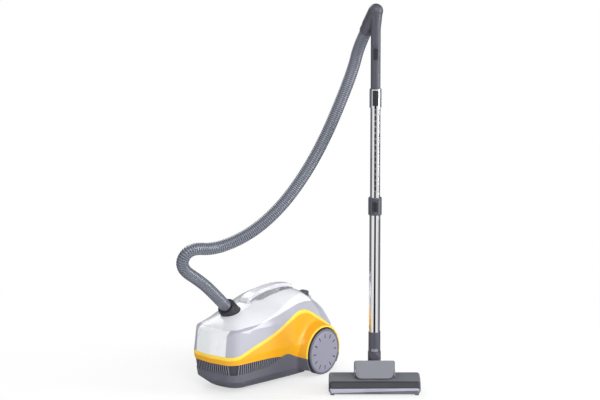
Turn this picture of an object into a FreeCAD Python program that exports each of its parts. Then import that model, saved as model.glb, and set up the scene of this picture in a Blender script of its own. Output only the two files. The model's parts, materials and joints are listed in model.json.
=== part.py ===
import FreeCAD, Part
import math
import os
import re
import Sketcher

Vector = FreeCAD.Vector
Rotation = FreeCAD.Rotation
Placement = FreeCAD.Placement
X_AXIS = Vector(1, 0, 0)
Y_AXIS = Vector(0, 1, 0)
Z_AXIS = Vector(0, 0, 1)

# Driving sizes in millimetres and degrees. The canister's own frame has its nose towards -X,
# the wand's own frame has the nozzle's width along X and the canister behind it.
SIZES = {
    # places of the two assemblies on the floor
    "canister_x": 4, "canister_y": 189,
    "wand_x": 112, "wand_y": -189.5, "wand_yaw": -51.5,
    # canister casing
    "wall": 2.6, "seam": 0.4, "lid_seam": 0.6, "clip_width": 420,
    "flank_station": 20, "nose_corner": 44, "flank_curve": 500, "tail_corner": 44,
    "nose_bow": 10, "nose_curve": 110, "tail_bow": 6, "tail_curve": 140, "crown_margin": 30,
    "fin_depth": 3.2, "fin_thickness": 3, "fin_pitch": 8, "fin_start": -212, "fin_end": -44,
    "fin_front_half": 68,
    "belt_end": 45, "hood_rear": 203, "hood_heel": 2.4, "rear_dome_front": 205.6,
    "panel_half": 37, "panel_wide": 62, "panel_rear": -97,
    # hose inlet, on an axis that rises towards the nose
    "inlet_x": -157, "inlet_z": 253, "inlet_rise": 44.3,
    "inlet_bore": 30.4, "inlet_boss": 33.4, "inlet_boss_depth": 46, "ring_bottom": 46,
    "ring_top": 31, "ring_bore": 18.2, "seal_thickness": 1.4,
    "collar_radius": 29.6, "collar_depth": 29.3, "collar_reach": 16, "collar_chamfer": 3,
    "spigot_length": 12, "latch_angle": -35, "latch_width": 15, "latch_low": -2,
    "latch_height": 3.6, "latch_room": 0.3, "latch_travel": 1.6, "latch_pocket": 2.2, "latch_gap": 0.35,
    # hose
    "hose_radius": 19, "hose_bore": 15.2, "rib_height": 1.1, "rib_count": 190,
    "hose_lead": 60, "bend_share": 0.45,
    # hinge of the hood
    "hood_axis_x": 204.3, "hood_axis_z": 229.4, "hinge_barrel": 4, "hinge_lug": 9, "hinge_pin": 2.5,
    "hinge_inner": 16, "hinge_width": 8, "hinge_gap": 0.4, "running": 0.06,
    # hand recess and carrying handle
    "recess_front": -92, "recess_rear": 138, "recess_half": 35, "recess_neck": 23,
    "recess_neck_end": -56, "recess_floor": 243, "recess_corner": 12,
    "handle_pivot_x": -76, "handle_pivot_z": 259, "handle_half": 18, "handle_pin": 3,
    "handle_thickness": 11, "handle_edge": 3,
    # foot pedals
    "pedal_x": 170, "pedal_y": 34, "pedal_side": 31, "pedal_top": 254, "pedal_bottom": 225,
    "pedal_corner": 8, "pedal_gap": 0.7, "pedal_edge": 4, "pedal_box_floor": 206, "pedal_box_wall": 2.4,
    "spring_radius": 6, "spring_wire": 1.3, "spring_turns": 4,
    # rear wheels
    "wheel_x": 130, "wheel_radius": 76, "wheel_width": 30, "wheel_outer_y": 160,
    "tyre_height": 7.5, "arch_gap": 4, "well_y": 108.5, "boss_reach": 18, "head_room": 0.6,
    "fender_lip": 9, "fender_lip_y": 153, "fender_root": 100, "fender_root_y": 100, "fender_low": 26,
    "axle_radius": 5, "axle_head": 9, "hub_radius": 15, "boss_radius": 12,
    "slot_count": 12, "slot_width": 3.4, "slot_length": 14,
    # front caster
    "caster_x": -128, "caster_wheel": 14, "caster_width": 13, "caster_trail": 10,
    "caster_well": 31, "caster_roof": 37, "stem_radius": 4, "fork_arm": 2.6,
    "caster_plate": 12, "caster_pin": 2.5,
    # dust bin
    "bin_front": -140, "bin_rear": -6, "bin_half": 62, "bin_floor": 50, "bin_top": 160,
    "bin_wall": 2.2, "bin_corner": 18, "bin_lid": 6, "bin_port_x": -100, "cradle_wall": 3,
    "duct_radius": 17, "duct_wall": 2,
    "filter_half": 50, "filter_length": 20, "filter_height": 96, "filter_corner": 8,
    # motor
    "motor_front": 22, "motor_length": 120, "motor_radius": 56, "motor_z": 98,
    "motor_wall": 2.6, "motor_eye": 18, "mount_width": 12, "mount_thickness": 5.6,
    "bulkhead": 10, "bulkhead_top": 168, "press_gap": 0.02, "shaft_radius": 4,
    "fan_radius": 44, "fan_width": 16, "fan_blades": 9, "fan_room": 24,
    "armature_radius": 33, "stator_length": 54, "stator_start": 36, "mount_web": 14,
    # cord reel
    "reel_x": 82, "reel_radius": 66, "reel_height": 38, "reel_hub": 22, "spindle_radius": 6,
    "flange": 2.4, "spindle_plate": 3, "reel_lift": 0.4,
    # exhaust
    "door_half": 54, "door_bottom": 131, "door_top": 188, "door_axis_x": 230.1,
    "door_axis_z": 130, "door_sill": 4.8, "filter_thickness": 16, "filter_front": 196, "outlet_y": -72,
    "outlet_z": 38, "outlet_radius": 8, "outlet_bore": 4,
    "outlet_start": 214, "outlet_reach": 24,
    # control board
    "board_half": 44, "board_bottom": 96, "board_top": 158, "board_thickness": 1.6,
    "board_stand": 8,
    # nozzle
    "nozzle_half": 144, "nozzle_front": -75, "nozzle_rear": 38, "nozzle_top": 52,
    "nozzle_base": 7, "nozzle_wall": 2.5, "sole_z": 4,
    "roller_y": -44, "roller_z": 24.5, "roller_radius": 18.3, "roller_half": 128, "roller_core": 11,
    "rear_roller_radius": 8.5, "rear_roller_x": 84, "rear_roller_y": 24, "rear_roller_width": 16,
    "ear_half": 64.5, "ear_thickness": 3, "ear_rear": 12, "neck_top_y": -24, "neck_top": 99, "neck_foot": 49,
    "plate_foot_y": -52, "plate_half": 65, "plate_foot_half": 57, "plate_thickness": 3,
    "plate_corner": 16,
    "pivot_y": 8, "pivot_z": 48, "pivot_barrel": 16, "pivot_half": 20, "pivot_pin": 5,
    "lug_gap": 0.4, "lug_radius": 11, "slot_half": 27, "slot_front": -14,
    "turbine_radius": 17, "turbine_width": 14, "turbine_x": 44,
    # wand
    "elbow_radius": 20.5, "elbow_top": 123, "elbow_spigot": 15.9, "spigot_top": 150,
    "connector_radius": 18.9, "connector_bottom": 123.6, "connector_top": 188, "tube_seat": 156,
    "lower_radius": 17.2, "lower_wall": 1, "lower_top": 590, "upper_radius": 15.5,
    "upper_wall": 0.9, "upper_bottom": 515, "socket_bottom": 896, "socket_top": 953,
    "socket_radius": 18.4, "notch_pitch": 18.3, "notch_count": 14, "notch_bottom": 634,
    "notch_length": 12, "notch_width": 6.4,
    "lock_bottom": 562, "lock_top": 617, "lock_radius": 21, "lock_slider_travel": 7,
    "button_width": 22, "button_height": 10, "button_z": 131,
    # handle
    "handle_radius": 15.1, "ball_radius": 22.2, "ball_z": 1189.5, "cone_bottom": 1134,
    "handle_bore": 12.6, "swivel_left": -0.35, "swivel_back": 0.5, "swivel_down": -0.79,
    "swivel_socket": 58, "swivel_radius": 22.6, "cuff_reach": 84, "cuff_radius": 21.6,
    "cuff_spigot": 19.2, "tongue_width": 18, "tongue_bottom": 903,
    "slider_z": 1060, "slider_length": 34, "slider_width": 14, "slider_travel": 9,
    "tongue_height": 46, "tongue_travel": 1.2, "tube_end": 950, "cuff_insert": 18,
    "strip_width": 7.4, "strip_depth": 2.6, "notch_top": 895, "notch_depth": 1.6,
    "lock_slider_width": 17, "lock_slider_low": 577, "lock_slider_length": 26,
    "elbow_low": 62, "elbow_disc": 12.5, "nozzle_corner": 9, "turbine_y": 10, "turbine_z": 25,
    "turbine_shaft": 2, "rear_pin": 2,
}

# Casing levels, from the keel up: height, nose, tail, and half widths at nose, flank and tail.
LEVELS = {
    "keel": (12, -196, 212, 64, 106, 128), "sill": (40, -227, 226, 87, 122, 150),
    "belly": (116, -238, 230, 92, 129, 156), "chest": (200, -230, 214, 86, 121, 94),
    "roof": (300, -200, 165, 62, 98, 48),
}
# Crown of the casing along its length: station, height on the centre line, fall and half width.
CROWNS = {
    "prow": (-262, 176, 12, 78), "lip": (-246, 188, 14, 78), "chin": (-228, 205, 16, 79),
    "cheek": (-205, 222, 18, 81), "bridge": (-170, 238, 33, 88), "collar": (-130, 250, 44, 99),
    "front": (-80, 263, 47, 108), "middle": (-20, 274, 43, 117), "crest": (50, 280, 36, 124),
    "back": (110, 275, 32, 124), "rump": (160, 257, 37, 90), "hip": (200, 232, 31, 80),
    "stern": (228, 204, 24, 78), "end": (262, 170, 20, 78),
}
# Lines between the casings in the side view: station and height of each point.
SKIRT = {"skirt_bow": (-262, 66), "skirt_nose": (-150, 64), "skirt_rise": (-92, 67),
         "skirt_step": (-58, 78), "skirt_peak": (-18, 99), "skirt_fall": (27, 77),
         "skirt_arch": (67, 60), "skirt_low": (115, 54), "skirt_stern": (262, 54)}
FINS = {"fins_bow": (-262, 97), "fins_nose": (-215, 98), "fins_side": (-95, 96),
        "fins_end": (-40, 92), "fins_hidden": (0, 60), "fins_stern": (262, 20)}
WAIST = {"waist_bow": (-262, 124), "waist_nose": (-215, 125), "waist_rise": (-144, 148),
         "waist_flank": (-62, 172), "waist_climb": (2, 204), "waist_peak": (62, 221),
         "waist_arch": (110, 214), "waist_fall": (160, 180), "waist_rear": (206, 136),
         "waist_stern": (262, 104)}
SHOULDER = {"shoulder_bow": (-262, 199), "shoulder_nose": (-229, 204),
            "shoulder_front": (-122, 210), "shoulder_rise": (-28, 226),
            "shoulder_crest": (40, 239), "shoulder_back": (100, 240),
            "shoulder_fall": (160, 229), "shoulder_hip": (200, 209),
            "shoulder_stern": (262, 176)}
TABLES = (
    (LEVELS, ("height", "nose", "tail", "front", "flank", "rear")),
    (CROWNS, ("station", "height", "fall", "half")),
    (SKIRT, ("station", "height")), (FINS, ("station", "height")),
    (WAIST, ("station", "height")), (SHOULDER, ("station", "height")),
)

# Route of the hose in the canister's frame, from the collar to the cuff in the wand's handle.
HOSE_ROUTE = (
    (-275, -2, 362), (-370, 2, 426), (-350, -21, 486), (-262, -52, 470), (-165, -112, 513),
    (-80, -160, 590), (-10, -200, 690), (45, -231, 795), (95, -258, 915), (129, -278, 1012),
)

doc = FreeCAD.newDocument("CanisterVacuum")
sheet = doc.addObject("Spreadsheet::Sheet", "Sizes")
for table, columns in TABLES:
    for row, numbers in table.items():
        for column, number in zip(columns, numbers):
            SIZES[row + "_" + column] = number
for line, (alias, number) in enumerate(SIZES.items(), start=1):
    sheet.set("A" + str(line), alias)
    sheet.set("B" + str(line), str(number))
    sheet.setAlias("B" + str(line), alias)
doc.recompute()

SUBPARTS = []


def bound(expression):
    """The expression with every size's name pointed at the sheet."""
    def point(word):
        return "Sizes." + word.group() if word.group() in SIZES else word.group()
    return re.sub(r"[a-z]\w+", point, str(expression))


def size(expression):
    """The number that an expression of sizes has now."""
    return float(sheet.evalExpression(str(expression)))


def unit(*parts):
    """A direction of length one."""
    direction = Vector(*parts)
    direction.normalize()
    return direction


# Primitives and booleans, bound to the sheet

TURNS = {
    "z": Rotation(), "x": Rotation(Y_AXIS, 90), "y": Rotation(X_AXIS, -90),
}


def place(piece, at, turn):
    """Put a primitive at a bound position."""
    piece.Placement = Placement(Vector(), turn)
    for letter, expression in zip("xyz", at):
        piece.setExpression("Placement.Base." + letter, bound(expression))


def cylinder(radius, length, at, along="z"):
    """A cylinder that starts at a point and runs along an axis."""
    piece = doc.addObject("Part::Cylinder", "Cylinder")
    piece.setExpression("Radius", bound(radius))
    piece.setExpression("Height", bound(length))
    place(piece, at, TURNS[along])
    return piece


def cone(bottom, top, length, at, along="z"):
    """A cone between two radii."""
    piece = doc.addObject("Part::Cone", "Cone")
    piece.setExpression("Radius1", bound(bottom))
    piece.setExpression("Radius2", bound(top))
    piece.setExpression("Height", bound(length))
    place(piece, at, TURNS[along])
    return piece


def ball(radius, at):
    """A sphere."""
    piece = doc.addObject("Part::Sphere", "Sphere")
    piece.setExpression("Radius", bound(radius))
    place(piece, at, Rotation())
    return piece


def block(length, width, height, at, corner=None):
    """A box from its lowest corner, its upright edges rounded where a radius is given."""
    piece = doc.addObject("Part::Box", "Box")
    for cell, expression in zip(("Length", "Width", "Height"), (length, width, height)):
        piece.setExpression(cell, bound(expression))
    place(piece, at, Rotation())
    if corner is None:
        return piece
    return rounded(piece, corner, lambda edge: abs(edge.tangentAt(edge.FirstParameter).z) > 0.99)


def rounded(piece, radius, chosen):
    """A fillet on the edges that a test picks."""
    doc.recompute()
    fillet = doc.addObject("Part::Fillet", "Rounded")
    fillet.Base = piece
    reach = size(radius)
    fillet.Edges = [(number, reach, reach) for number, edge in enumerate(piece.Shape.Edges, 1)
                    if chosen(edge)]
    return fillet


def join(*pieces):
    """One solid of several that overlap or touch."""
    fuse = doc.addObject("Part::MultiFuse", "Fuse")
    fuse.Shapes = list(pieces)
    return fuse


def cut(base, *tools):
    """A solid with others taken away."""
    result = doc.addObject("Part::Cut", "Cut")
    result.Base = base
    result.Tool = tools[0] if len(tools) == 1 else join(*tools)
    return result


def common(*pieces):
    """What several solids share."""
    result = doc.addObject("Part::MultiCommon", "Common")
    result.Shapes = list(pieces)
    return result


def solid_feature(shape):
    """A free form that no primitive or sketch fits."""
    piece = doc.addObject("Part::Feature", "Form")
    piece.Shape = shape
    return piece


def subpart(piece, label, frame):
    """Name a finished sub-part and stand it in its assembly."""
    piece.Label = label
    piece.Placement = frame
    SUBPARTS.append(piece)
    return piece


# Sketched bodies

def upright_sketch(body):
    """An empty sketch on the body's own XZ plane."""
    sketch = body.newObject("Sketcher::SketchObject", "Sketch")
    support = [item for item in body.Origin.OriginFeatures if item.Role == "XZ_Plane"][0]
    sketch.AttachmentSupport = (support, "")
    sketch.MapMode = "FlatFace"
    return sketch


def draw_outline(sketch, corners):
    """A closed outline whose corners are bound to the sheet."""
    first = sketch.GeometryCount
    count = len(corners)
    spots = [Vector(size(x), size(y), 0) for x, y in corners]
    for index in range(count):
        sketch.addGeometry(Part.LineSegment(spots[index], spots[(index + 1) % count]), False)
    for index in range(count):
        following = first + (index + 1) % count
        sketch.addConstraint(Sketcher.Constraint("Coincident", first + index, 2, following, 1))
    for index, (x, y) in enumerate(corners):
        spot = spots[index]
        for kind, value, expression, axis in (("DistanceX", spot.x, x, -2), ("DistanceY", spot.y, y, -1)):
            if abs(value) < 1e-9:
                rule = Sketcher.Constraint("PointOnObject", first + index, 1, axis)
                sketch.addConstraint(rule)
                continue
            rule = Sketcher.Constraint(kind, -1, 1, first + index, 1, value)
            number = sketch.addConstraint(rule)
            sketch.setExpression("Constraints[" + str(number) + "]", bound(expression))


def turned(profile):
    """A body turned about Z from its half section, given as radius and height."""
    body = doc.addObject("PartDesign::Body", "Body")
    sketch = upright_sketch(body)
    draw_outline(sketch, profile)
    turn = body.newObject("PartDesign::Revolution", "Turn")
    turn.Profile = sketch
    turn.ReferenceAxis = (sketch, ["V_Axis"])
    turn.Angle = 360
    return body


# Casing of the canister

def rounded_wire(corners, height):
    """A closed outline of lines and tangent arcs from corners with a radius each."""
    count = len(corners)
    bends = []
    for index in range(count):
        here = Vector(corners[index][0], corners[index][1], height)
        radius = corners[index][2]
        before = Vector(corners[index - 1][0], corners[index - 1][1], height)
        after = Vector(corners[(index + 1) % count][0], corners[(index + 1) % count][1], height)
        back = before.sub(here).normalize()
        onward = after.sub(here).normalize()
        half_angle = back.getAngle(onward) / 2
        reach = radius / math.tan(half_angle)
        middle = back.add(onward).normalize()
        depth = radius / math.sin(half_angle) - radius
        bends.append((here + back * reach, here + middle * depth, here + onward * reach))
    edges = []
    for index, (start, middle, end) in enumerate(bends):
        edges.append(Part.Arc(start, middle, end).toShape())
        edges.append(Part.LineSegment(end, bends[(index + 1) % count][0]).toShape())
    return Part.Wire(edges)


def hull(inset):
    """The casing's plan at every level, lofted upwards and drawn in by an inset."""
    wires = []
    for level in LEVELS:
        height = size(level + "_height")
        if level == "keel":
            height += inset
        nose = size(level + "_nose") + inset
        tail = size(level + "_tail") - inset
        front = size(level + "_front") - inset
        flank = size(level + "_flank") - inset
        rear = size(level + "_rear") - inset
        nose_corner = size("nose_corner") - inset
        tail_corner = size("tail_corner") - inset
        middle = size("flank_station")
        corners = [
            (nose, -front, nose_corner), (middle, -flank, size("flank_curve")),
            (tail, -rear, tail_corner), (tail + size("tail_bow"), 0, size("tail_curve")),
            (tail, rear, tail_corner), (middle, flank, size("flank_curve")),
            (nose, front, nose_corner), (nose - size("nose_bow"), 0, size("nose_curve")),
        ]
        wires.append(rounded_wire(corners, height))
    return Part.makeLoft(wires, True, True)


def dome(inset):
    """The space under the casing's crown, lofted along its length."""
    wires = []
    floor = -size("wheel_radius")
    for crown in CROWNS:
        station = size(crown + "_station")
        top = size(crown + "_height") - inset
        fall = size(crown + "_fall")
        half = size(crown + "_half")
        radius = (half ** 2 + fall ** 2) / (2 * fall) - inset
        reach = half + size("crown_margin")
        edge = top - radius + math.sqrt(radius ** 2 - reach ** 2)
        left = Vector(station, -reach, edge)
        right = Vector(station, reach, edge)
        low_left = Vector(station, -reach, floor)
        low_right = Vector(station, reach, floor)
        arc = Part.Arc(left, Vector(station, 0, top), right).toShape()
        sides = [Part.LineSegment(a, b).toShape()
                 for a, b in ((right, low_right), (low_right, low_left), (low_left, left))]
        wires.append(Part.Wire([arc] + sides))
    return Part.makeLoft(wires, True, False)


def slab(low, high):
    """A box between two corners."""
    low, high = Vector(*low), Vector(*high)
    span = high - low
    return Part.makeBox(span.x, span.y, span.z, low)


def softened(points, largest):
    """Edges of an open line with its corners rounded as far as its runs allow."""
    edges = []
    start = points[0]
    for before, here, after in zip(points, points[1:], points[2:]):
        back, onward = before - here, after - here
        half_angle = back.getAngle(onward) / 2
        reach = min(back.Length, onward.Length) * 0.45
        if reach * math.tan(half_angle) > largest:
            reach = largest / math.tan(half_angle)
        radius = reach * math.tan(half_angle)
        back.normalize()
        onward.normalize()
        middle = (back + onward).normalize()
        depth = radius / math.sin(half_angle) - radius
        bend_start, bend_end = here + back * reach, here + onward * reach
        edges.append(Part.LineSegment(start, bend_start).toShape())
        edges.append(Part.Arc(bend_start, here + middle * depth, bend_end).toShape())
        start = bend_end
    edges.append(Part.LineSegment(start, points[-1]).toShape())
    return edges


def below(line, lift=0):
    """Everything under one of the casing's lines, lifted by a little."""
    points = [Vector(size(row + "_station"), 0, size(row + "_height") + lift) for row in line]
    floor = -size("wheel_radius")
    first, last = points[0], points[-1]
    corners = [last, Vector(last.x, 0, floor), Vector(first.x, 0, floor), first]
    edges = softened(points, size("clip_width"))
    edges += [Part.LineSegment(a, b).toShape() for a, b in zip(corners, corners[1:])]
    face = Part.Face(Part.Wire(edges))
    width = size("clip_width")
    face.translate(Vector(0, -width / 2, 0))
    return face.extrude(Vector(0, width, 0))


def drum(radius, start, end, centre, axis=Y_AXIS):
    """A cylinder between two distances along an axis through a centre."""
    base = centre + axis * start
    return Part.makeCylinder(radius, end - start, base, axis)


canister = Placement(Vector(size("canister_x"), size("canister_y"), 0), Rotation())
wand = Placement(Vector(size("wand_x"), size("wand_y"), 0), Rotation(Z_AXIS, size("wand_yaw")))
inlet_turn = Rotation(Y_AXIS, -(90 - size("inlet_rise")))
inlet_local = Placement(Vector(size("inlet_x"), 0, size("inlet_z")), inlet_turn)
inlet = canister.multiply(inlet_local)
inlet_axis = inlet_turn.multVec(Z_AXIS)
inlet_point = Vector(size("inlet_x"), 0, size("inlet_z"))

wall = size("wall")
seam = size("seam")
outer = hull(0).common(dome(0))
inner = hull(wall).common(dome(wall))
shell = outer.cut(inner)
far = size("clip_width") / 2
wheel_centre = Vector(size("wheel_x"), 0, size("wheel_radius"))
arch_radius = size("wheel_radius + arch_gap")


def fenders(inset):
    """Flared drums about the wheel axis that stand out over both wheels."""
    root, lip = size("fender_root_y"), size("fender_lip_y") - inset
    flare = (size("fender_root") - size("wheel_radius + fender_lip")) / (size("fender_lip_y") - root)
    wide = size("fender_root") - inset
    narrow = wide - flare * (lip - root)
    floor = slab((-far, -far, size("fender_low") + inset), (far + 60, far, far + 120))
    flares = []
    for side in (-1, 1):
        flares.append(Part.makeCone(wide, narrow, lip - root, wheel_centre + Y_AXIS * side * root,
                                    Y_AXIS * side))
    return flares[0].fuse(flares[1]).common(floor)


def both_arches(radius, start):
    """Two drums about the wheel axis, one on each side."""
    right = drum(radius, start, far, wheel_centre)
    left = drum(radius, -far, -start, wheel_centre)
    return right.fuse(left)


arches = both_arches(arch_radius, size("well_y"))


def make_base_tray():
    """Floor pan with wheel wells, cradle, bulkheads and the caster's socket."""
    skin = hull(0).fuse(fenders(0)).cut(hull(wall).fuse(fenders(wall)))
    tray = skin.common(below(SKIRT))
    floor = size("keel_height") + wall / 2
    ribs = []
    for station in (size("bin_front") + 30, size("bin_rear") - 20):
        thick = size("cradle_wall")
        half = size("bin_half")
        ribs.append(slab((station, -half, floor), (station + thick, half, size("bin_floor"))))
    motor = Vector(0, 0, size("motor_z"))
    ring_outer = size("motor_radius + seam / 2 + mount_thickness + seam / 2")
    seats = [size("motor_front + mount_width / 2"),
             size("motor_front + motor_length - mount_width / 2")]
    for centre in seats:
        half = size("bulkhead") / 2
        plate = slab((centre - half, -size("well_y"), floor),
                     (centre + half, size("well_y"), size("bulkhead_top")))
        ribs.append(plate.cut(drum(ring_outer, centre - far, centre + far, motor, X_AXIS)))
    wells = both_arches(arch_radius + wall, size("well_y") - wall)
    wells = wells.cut(arches)
    for side in (-1, 1):
        start = size("well_y - boss_reach")
        boss = drum(size("boss_radius"), start, size("well_y") + wall, wheel_centre, Y_AXIS * side)
        ribs.append(boss)
    caster = Vector(size("caster_x"), 0, 0)
    socket = drum(size("caster_well") + wall, size("keel_height"), size("caster_roof") + wall,
                  caster, Z_AXIS)
    stem = drum(size("stem_radius") + 4, size("caster_roof"), size("bin_floor") - 1, caster, Z_AXIS)
    extras = wells.multiFuse(ribs + [socket, stem])
    loose = hull(wall + seam / 2).common(dome(wall + seam / 2))
    half = size("keel_rear") - 20
    footing = slab((size("keel_nose") + 20, -half, floor), (size("keel_tail") - 15, half, floor + wall))
    tray = tray.multiFuse([extras.common(loose), extras.common(footing)])
    tray = tray.cut(arches)
    tray = tray.cut(drum(size("caster_well"), 0, size("caster_roof"), caster, Z_AXIS))
    stem_bore = size("stem_radius") + size("running")
    tray = tray.cut(drum(stem_bore, 0, size("bin_floor") - 3, caster, Z_AXIS))
    axle_bore = size("axle_radius") + size("running")
    for side in (-1, 1):
        start = size("well_y - boss_reach")
        tray = tray.cut(drum(axle_bore, start - 1, far, wheel_centre, Y_AXIS * side))
        tray = tray.cut(drum(size("axle_head + head_room"), start - 4, start, wheel_centre,
                             Y_AXIS * side))
    outlet = Vector(0, size("outlet_y"), size("outlet_z"))
    tray = tray.cut(drum(size("outlet_radius") + size("running"), 150, far + 100, outlet, X_AXIS))
    return tray.removeSplitter()


def make_fin_grille():
    """Band of upright fins between the floor pan and the coloured casing."""
    region = below(FINS).cut(below(SKIRT, seam))
    depth = size("fin_depth")
    backing = hull(depth).cut(hull(depth + wall)).common(region)
    pitch, thick = size("fin_pitch"), size("fin_thickness")
    low, high = size("skirt_nose_height") - 10, size("skirt_peak_height")
    bars = []
    station = size("fin_start")
    while station < size("fin_end"):
        bars.append(slab((station, -far, low), (station + thick, far, high)))
        station += pitch
    across = -size("fin_front_half")
    while across <= size("fin_front_half"):
        bars.append(slab((-far - 60, across - thick / 2, low),
                         (size("fin_start") - pitch / 2, across + thick / 2, high)))
        across += pitch
    skin = hull(0).cut(hull(depth + wall / 2))
    fins = skin.common(region).common(Part.makeCompound(bars))
    keep = slab((-far - 60, -far, 0), (size("fins_end_station"), far, high))
    return backing.common(keep).multiFuse(fins.common(keep).Solids).removeSplitter()


def make_yellow_shell():
    """Coloured casing that wraps round the nose and rises over the wheels."""
    region = below(WAIST).cut(below(FINS, seam).fuse(below(SKIRT, seam)))
    skin = hull(0).fuse(fenders(0)).cut(hull(wall).fuse(fenders(wall)))
    return skin.common(region).cut(arches)


panel_gap = size("lid_seam")


def nose_strip(half, grow):
    """A slab over the middle of the nose, widened by a gap."""
    return slab((-far - 60, -half - grow, 0), (size("panel_rear") + grow, half + grow, far + 120))


strip = nose_strip(size("panel_half"), 0)
strip_gap = nose_strip(size("panel_half"), panel_gap)
apron = nose_strip(size("panel_wide"), 0).common(below(SHOULDER))
apron_gap = nose_strip(size("panel_wide"), panel_gap)
upper_region = below(SHOULDER).cut(below(WAIST, seam))


def make_belt(side):
    """Side belt between the coloured casing and the hood."""
    box = slab((-far - 60, 0, 0), (size("belt_end"), far, far + 120))
    if side < 0:
        box = box.mirror(Vector(), Y_AXIS)
    return shell.common(upper_region).common(box).cut(apron_gap).removeSplitter()


def inlet_drum(radius, start, end):
    """A cylinder about the inlet's axis."""
    return drum(radius, start, end, inlet_point, inlet_axis)


def make_front_panel():
    """Fixed centre panel of the nose, with the inlet's boss."""
    panel = shell.common(strip.fuse(apron)).cut(below(WAIST, seam))
    depth = size("inlet_boss_depth")
    boss = inlet_drum(size("inlet_boss"), -depth, far).common(outer)
    panel = panel.fuse(boss.common(strip))
    return panel.cut(inlet_drum(size("inlet_bore"), -depth - 20, far)).removeSplitter()


def recess(grow):
    """The hand recess under the carrying handle."""
    top = far + 120
    wide = slab((size("recess_neck_end") - grow, -size("recess_half") - grow,
                 size("recess_floor") - grow),
                (size("recess_rear") + grow, size("recess_half") + grow, top))
    neck = slab((size("recess_front") - grow, -size("recess_neck") - grow,
                 size("recess_floor") - grow),
                (size("recess_neck_end") + grow, size("recess_neck") + grow, top))
    corner = size("recess_corner")
    wide = wide.makeFillet(corner + grow, [edge for edge in wide.Edges
                                           if abs(edge.tangentAt(0).z) > 0.99])
    neck_edges = [edge for edge in neck.Edges
                  if abs(edge.tangentAt(0).z) > 0.99 and edge.Vertexes[0].X < size("handle_pivot_x")]
    neck = neck.makeFillet(corner + grow, neck_edges)
    return wide.fuse(neck)


def pedal_hole(side, grow):
    """The space of one pedal, widened by a gap."""
    half = size("pedal_side") / 2 + grow
    centre_x, centre_y = size("pedal_x"), side * size("pedal_y")
    box = slab((centre_x - half, centre_y - half, size("pedal_box_floor")),
               (centre_x + half, centre_y + half, far + 120))
    upright = [edge for edge in box.Edges if abs(edge.tangentAt(0).z) > 0.99]
    return box.makeFillet(size("pedal_corner") + grow, upright)


def hinge_drum(radius, start, width, side):
    """A piece of the hood's hinge line on one side."""
    centre = Vector(size("hood_axis_x"), 0, size("hood_axis_z"))
    return drum(radius, start, start + width, centre, Y_AXIS * side)


def hinge_lug(toward, start, side):
    """A wedge that ties a hinge barrel to the casing before or behind it."""
    axis_x, axis_z = size("hood_axis_x"), size("hood_axis_z")
    barrel, reach = size("hinge_barrel"), size("hinge_lug") * toward
    outline = [Vector(axis_x, 0, axis_z + barrel), Vector(axis_x + reach, 0, axis_z + 1 - 5 * toward),
               Vector(axis_x + reach, 0, axis_z - 7 - 5 * toward), Vector(axis_x, 0, axis_z - barrel)]
    face = Part.Face(Part.makePolygon(outline + outline[:1]))
    face.translate(Vector(0, start if side > 0 else -start - size("hinge_width"), 0))
    return face.extrude(Vector(0, size("hinge_width"), 0))


def make_hood():
    """Opening hood with the hand recess, the pedals' box and its half of the hinge."""
    hood = shell.cut(below(SHOULDER, panel_gap)).cut(strip_gap)
    hood = hood.common(slab((-far - 60, -far, 0), (size("hood_rear"), far, far + 120)))
    heel = size("shoulder_hip_height + hood_heel")
    hood = hood.cut(slab((size("hood_rear") - 5, -far, 0), (far, far, heel)))
    tub = recess(wall).common(outer)
    hood = hood.fuse(tub).cut(recess(0))
    thick = size("pedal_box_wall")
    half_x = size("pedal_side") / 2 + thick
    half_y = size("pedal_y") + size("pedal_side") / 2 + thick
    low = size("pedal_box_floor") - thick
    box = slab((size("pedal_x") - half_x, -half_y, low), (size("pedal_x") + half_x, half_y, far + 120))
    hood = hood.fuse(box.common(outer))
    for side in (-1, 1):
        hood = hood.cut(pedal_hole(side, size("pedal_gap")))
        pin_hole = drum(size("handle_pin") + size("running"), size("handle_half"),
                        size("recess_neck") + wall + 3,
                        Vector(size("handle_pivot_x"), 0, size("handle_pivot_z")), Y_AXIS * side)
        hood = hood.cut(pin_hole)
        other = size("hinge_inner") + size("hinge_width") - size("hinge_gap") / 2
        hood = hood.cut(hinge_drum(size("hinge_barrel") + 0.5, other, size("hinge_width") + 1.2, side))
        barrel = hinge_drum(size("hinge_barrel"), size("hinge_inner"), size("hinge_width"), side)
        hood = hood.fuse([barrel, hinge_lug(-1, size("hinge_inner"), side)])
        pin = hinge_drum(size("hinge_pin") + size("running"), size("hinge_inner") - 1,
                         size("hinge_width") + 2, side)
        hood = hood.cut(pin)
    return hood.removeSplitter()


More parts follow.
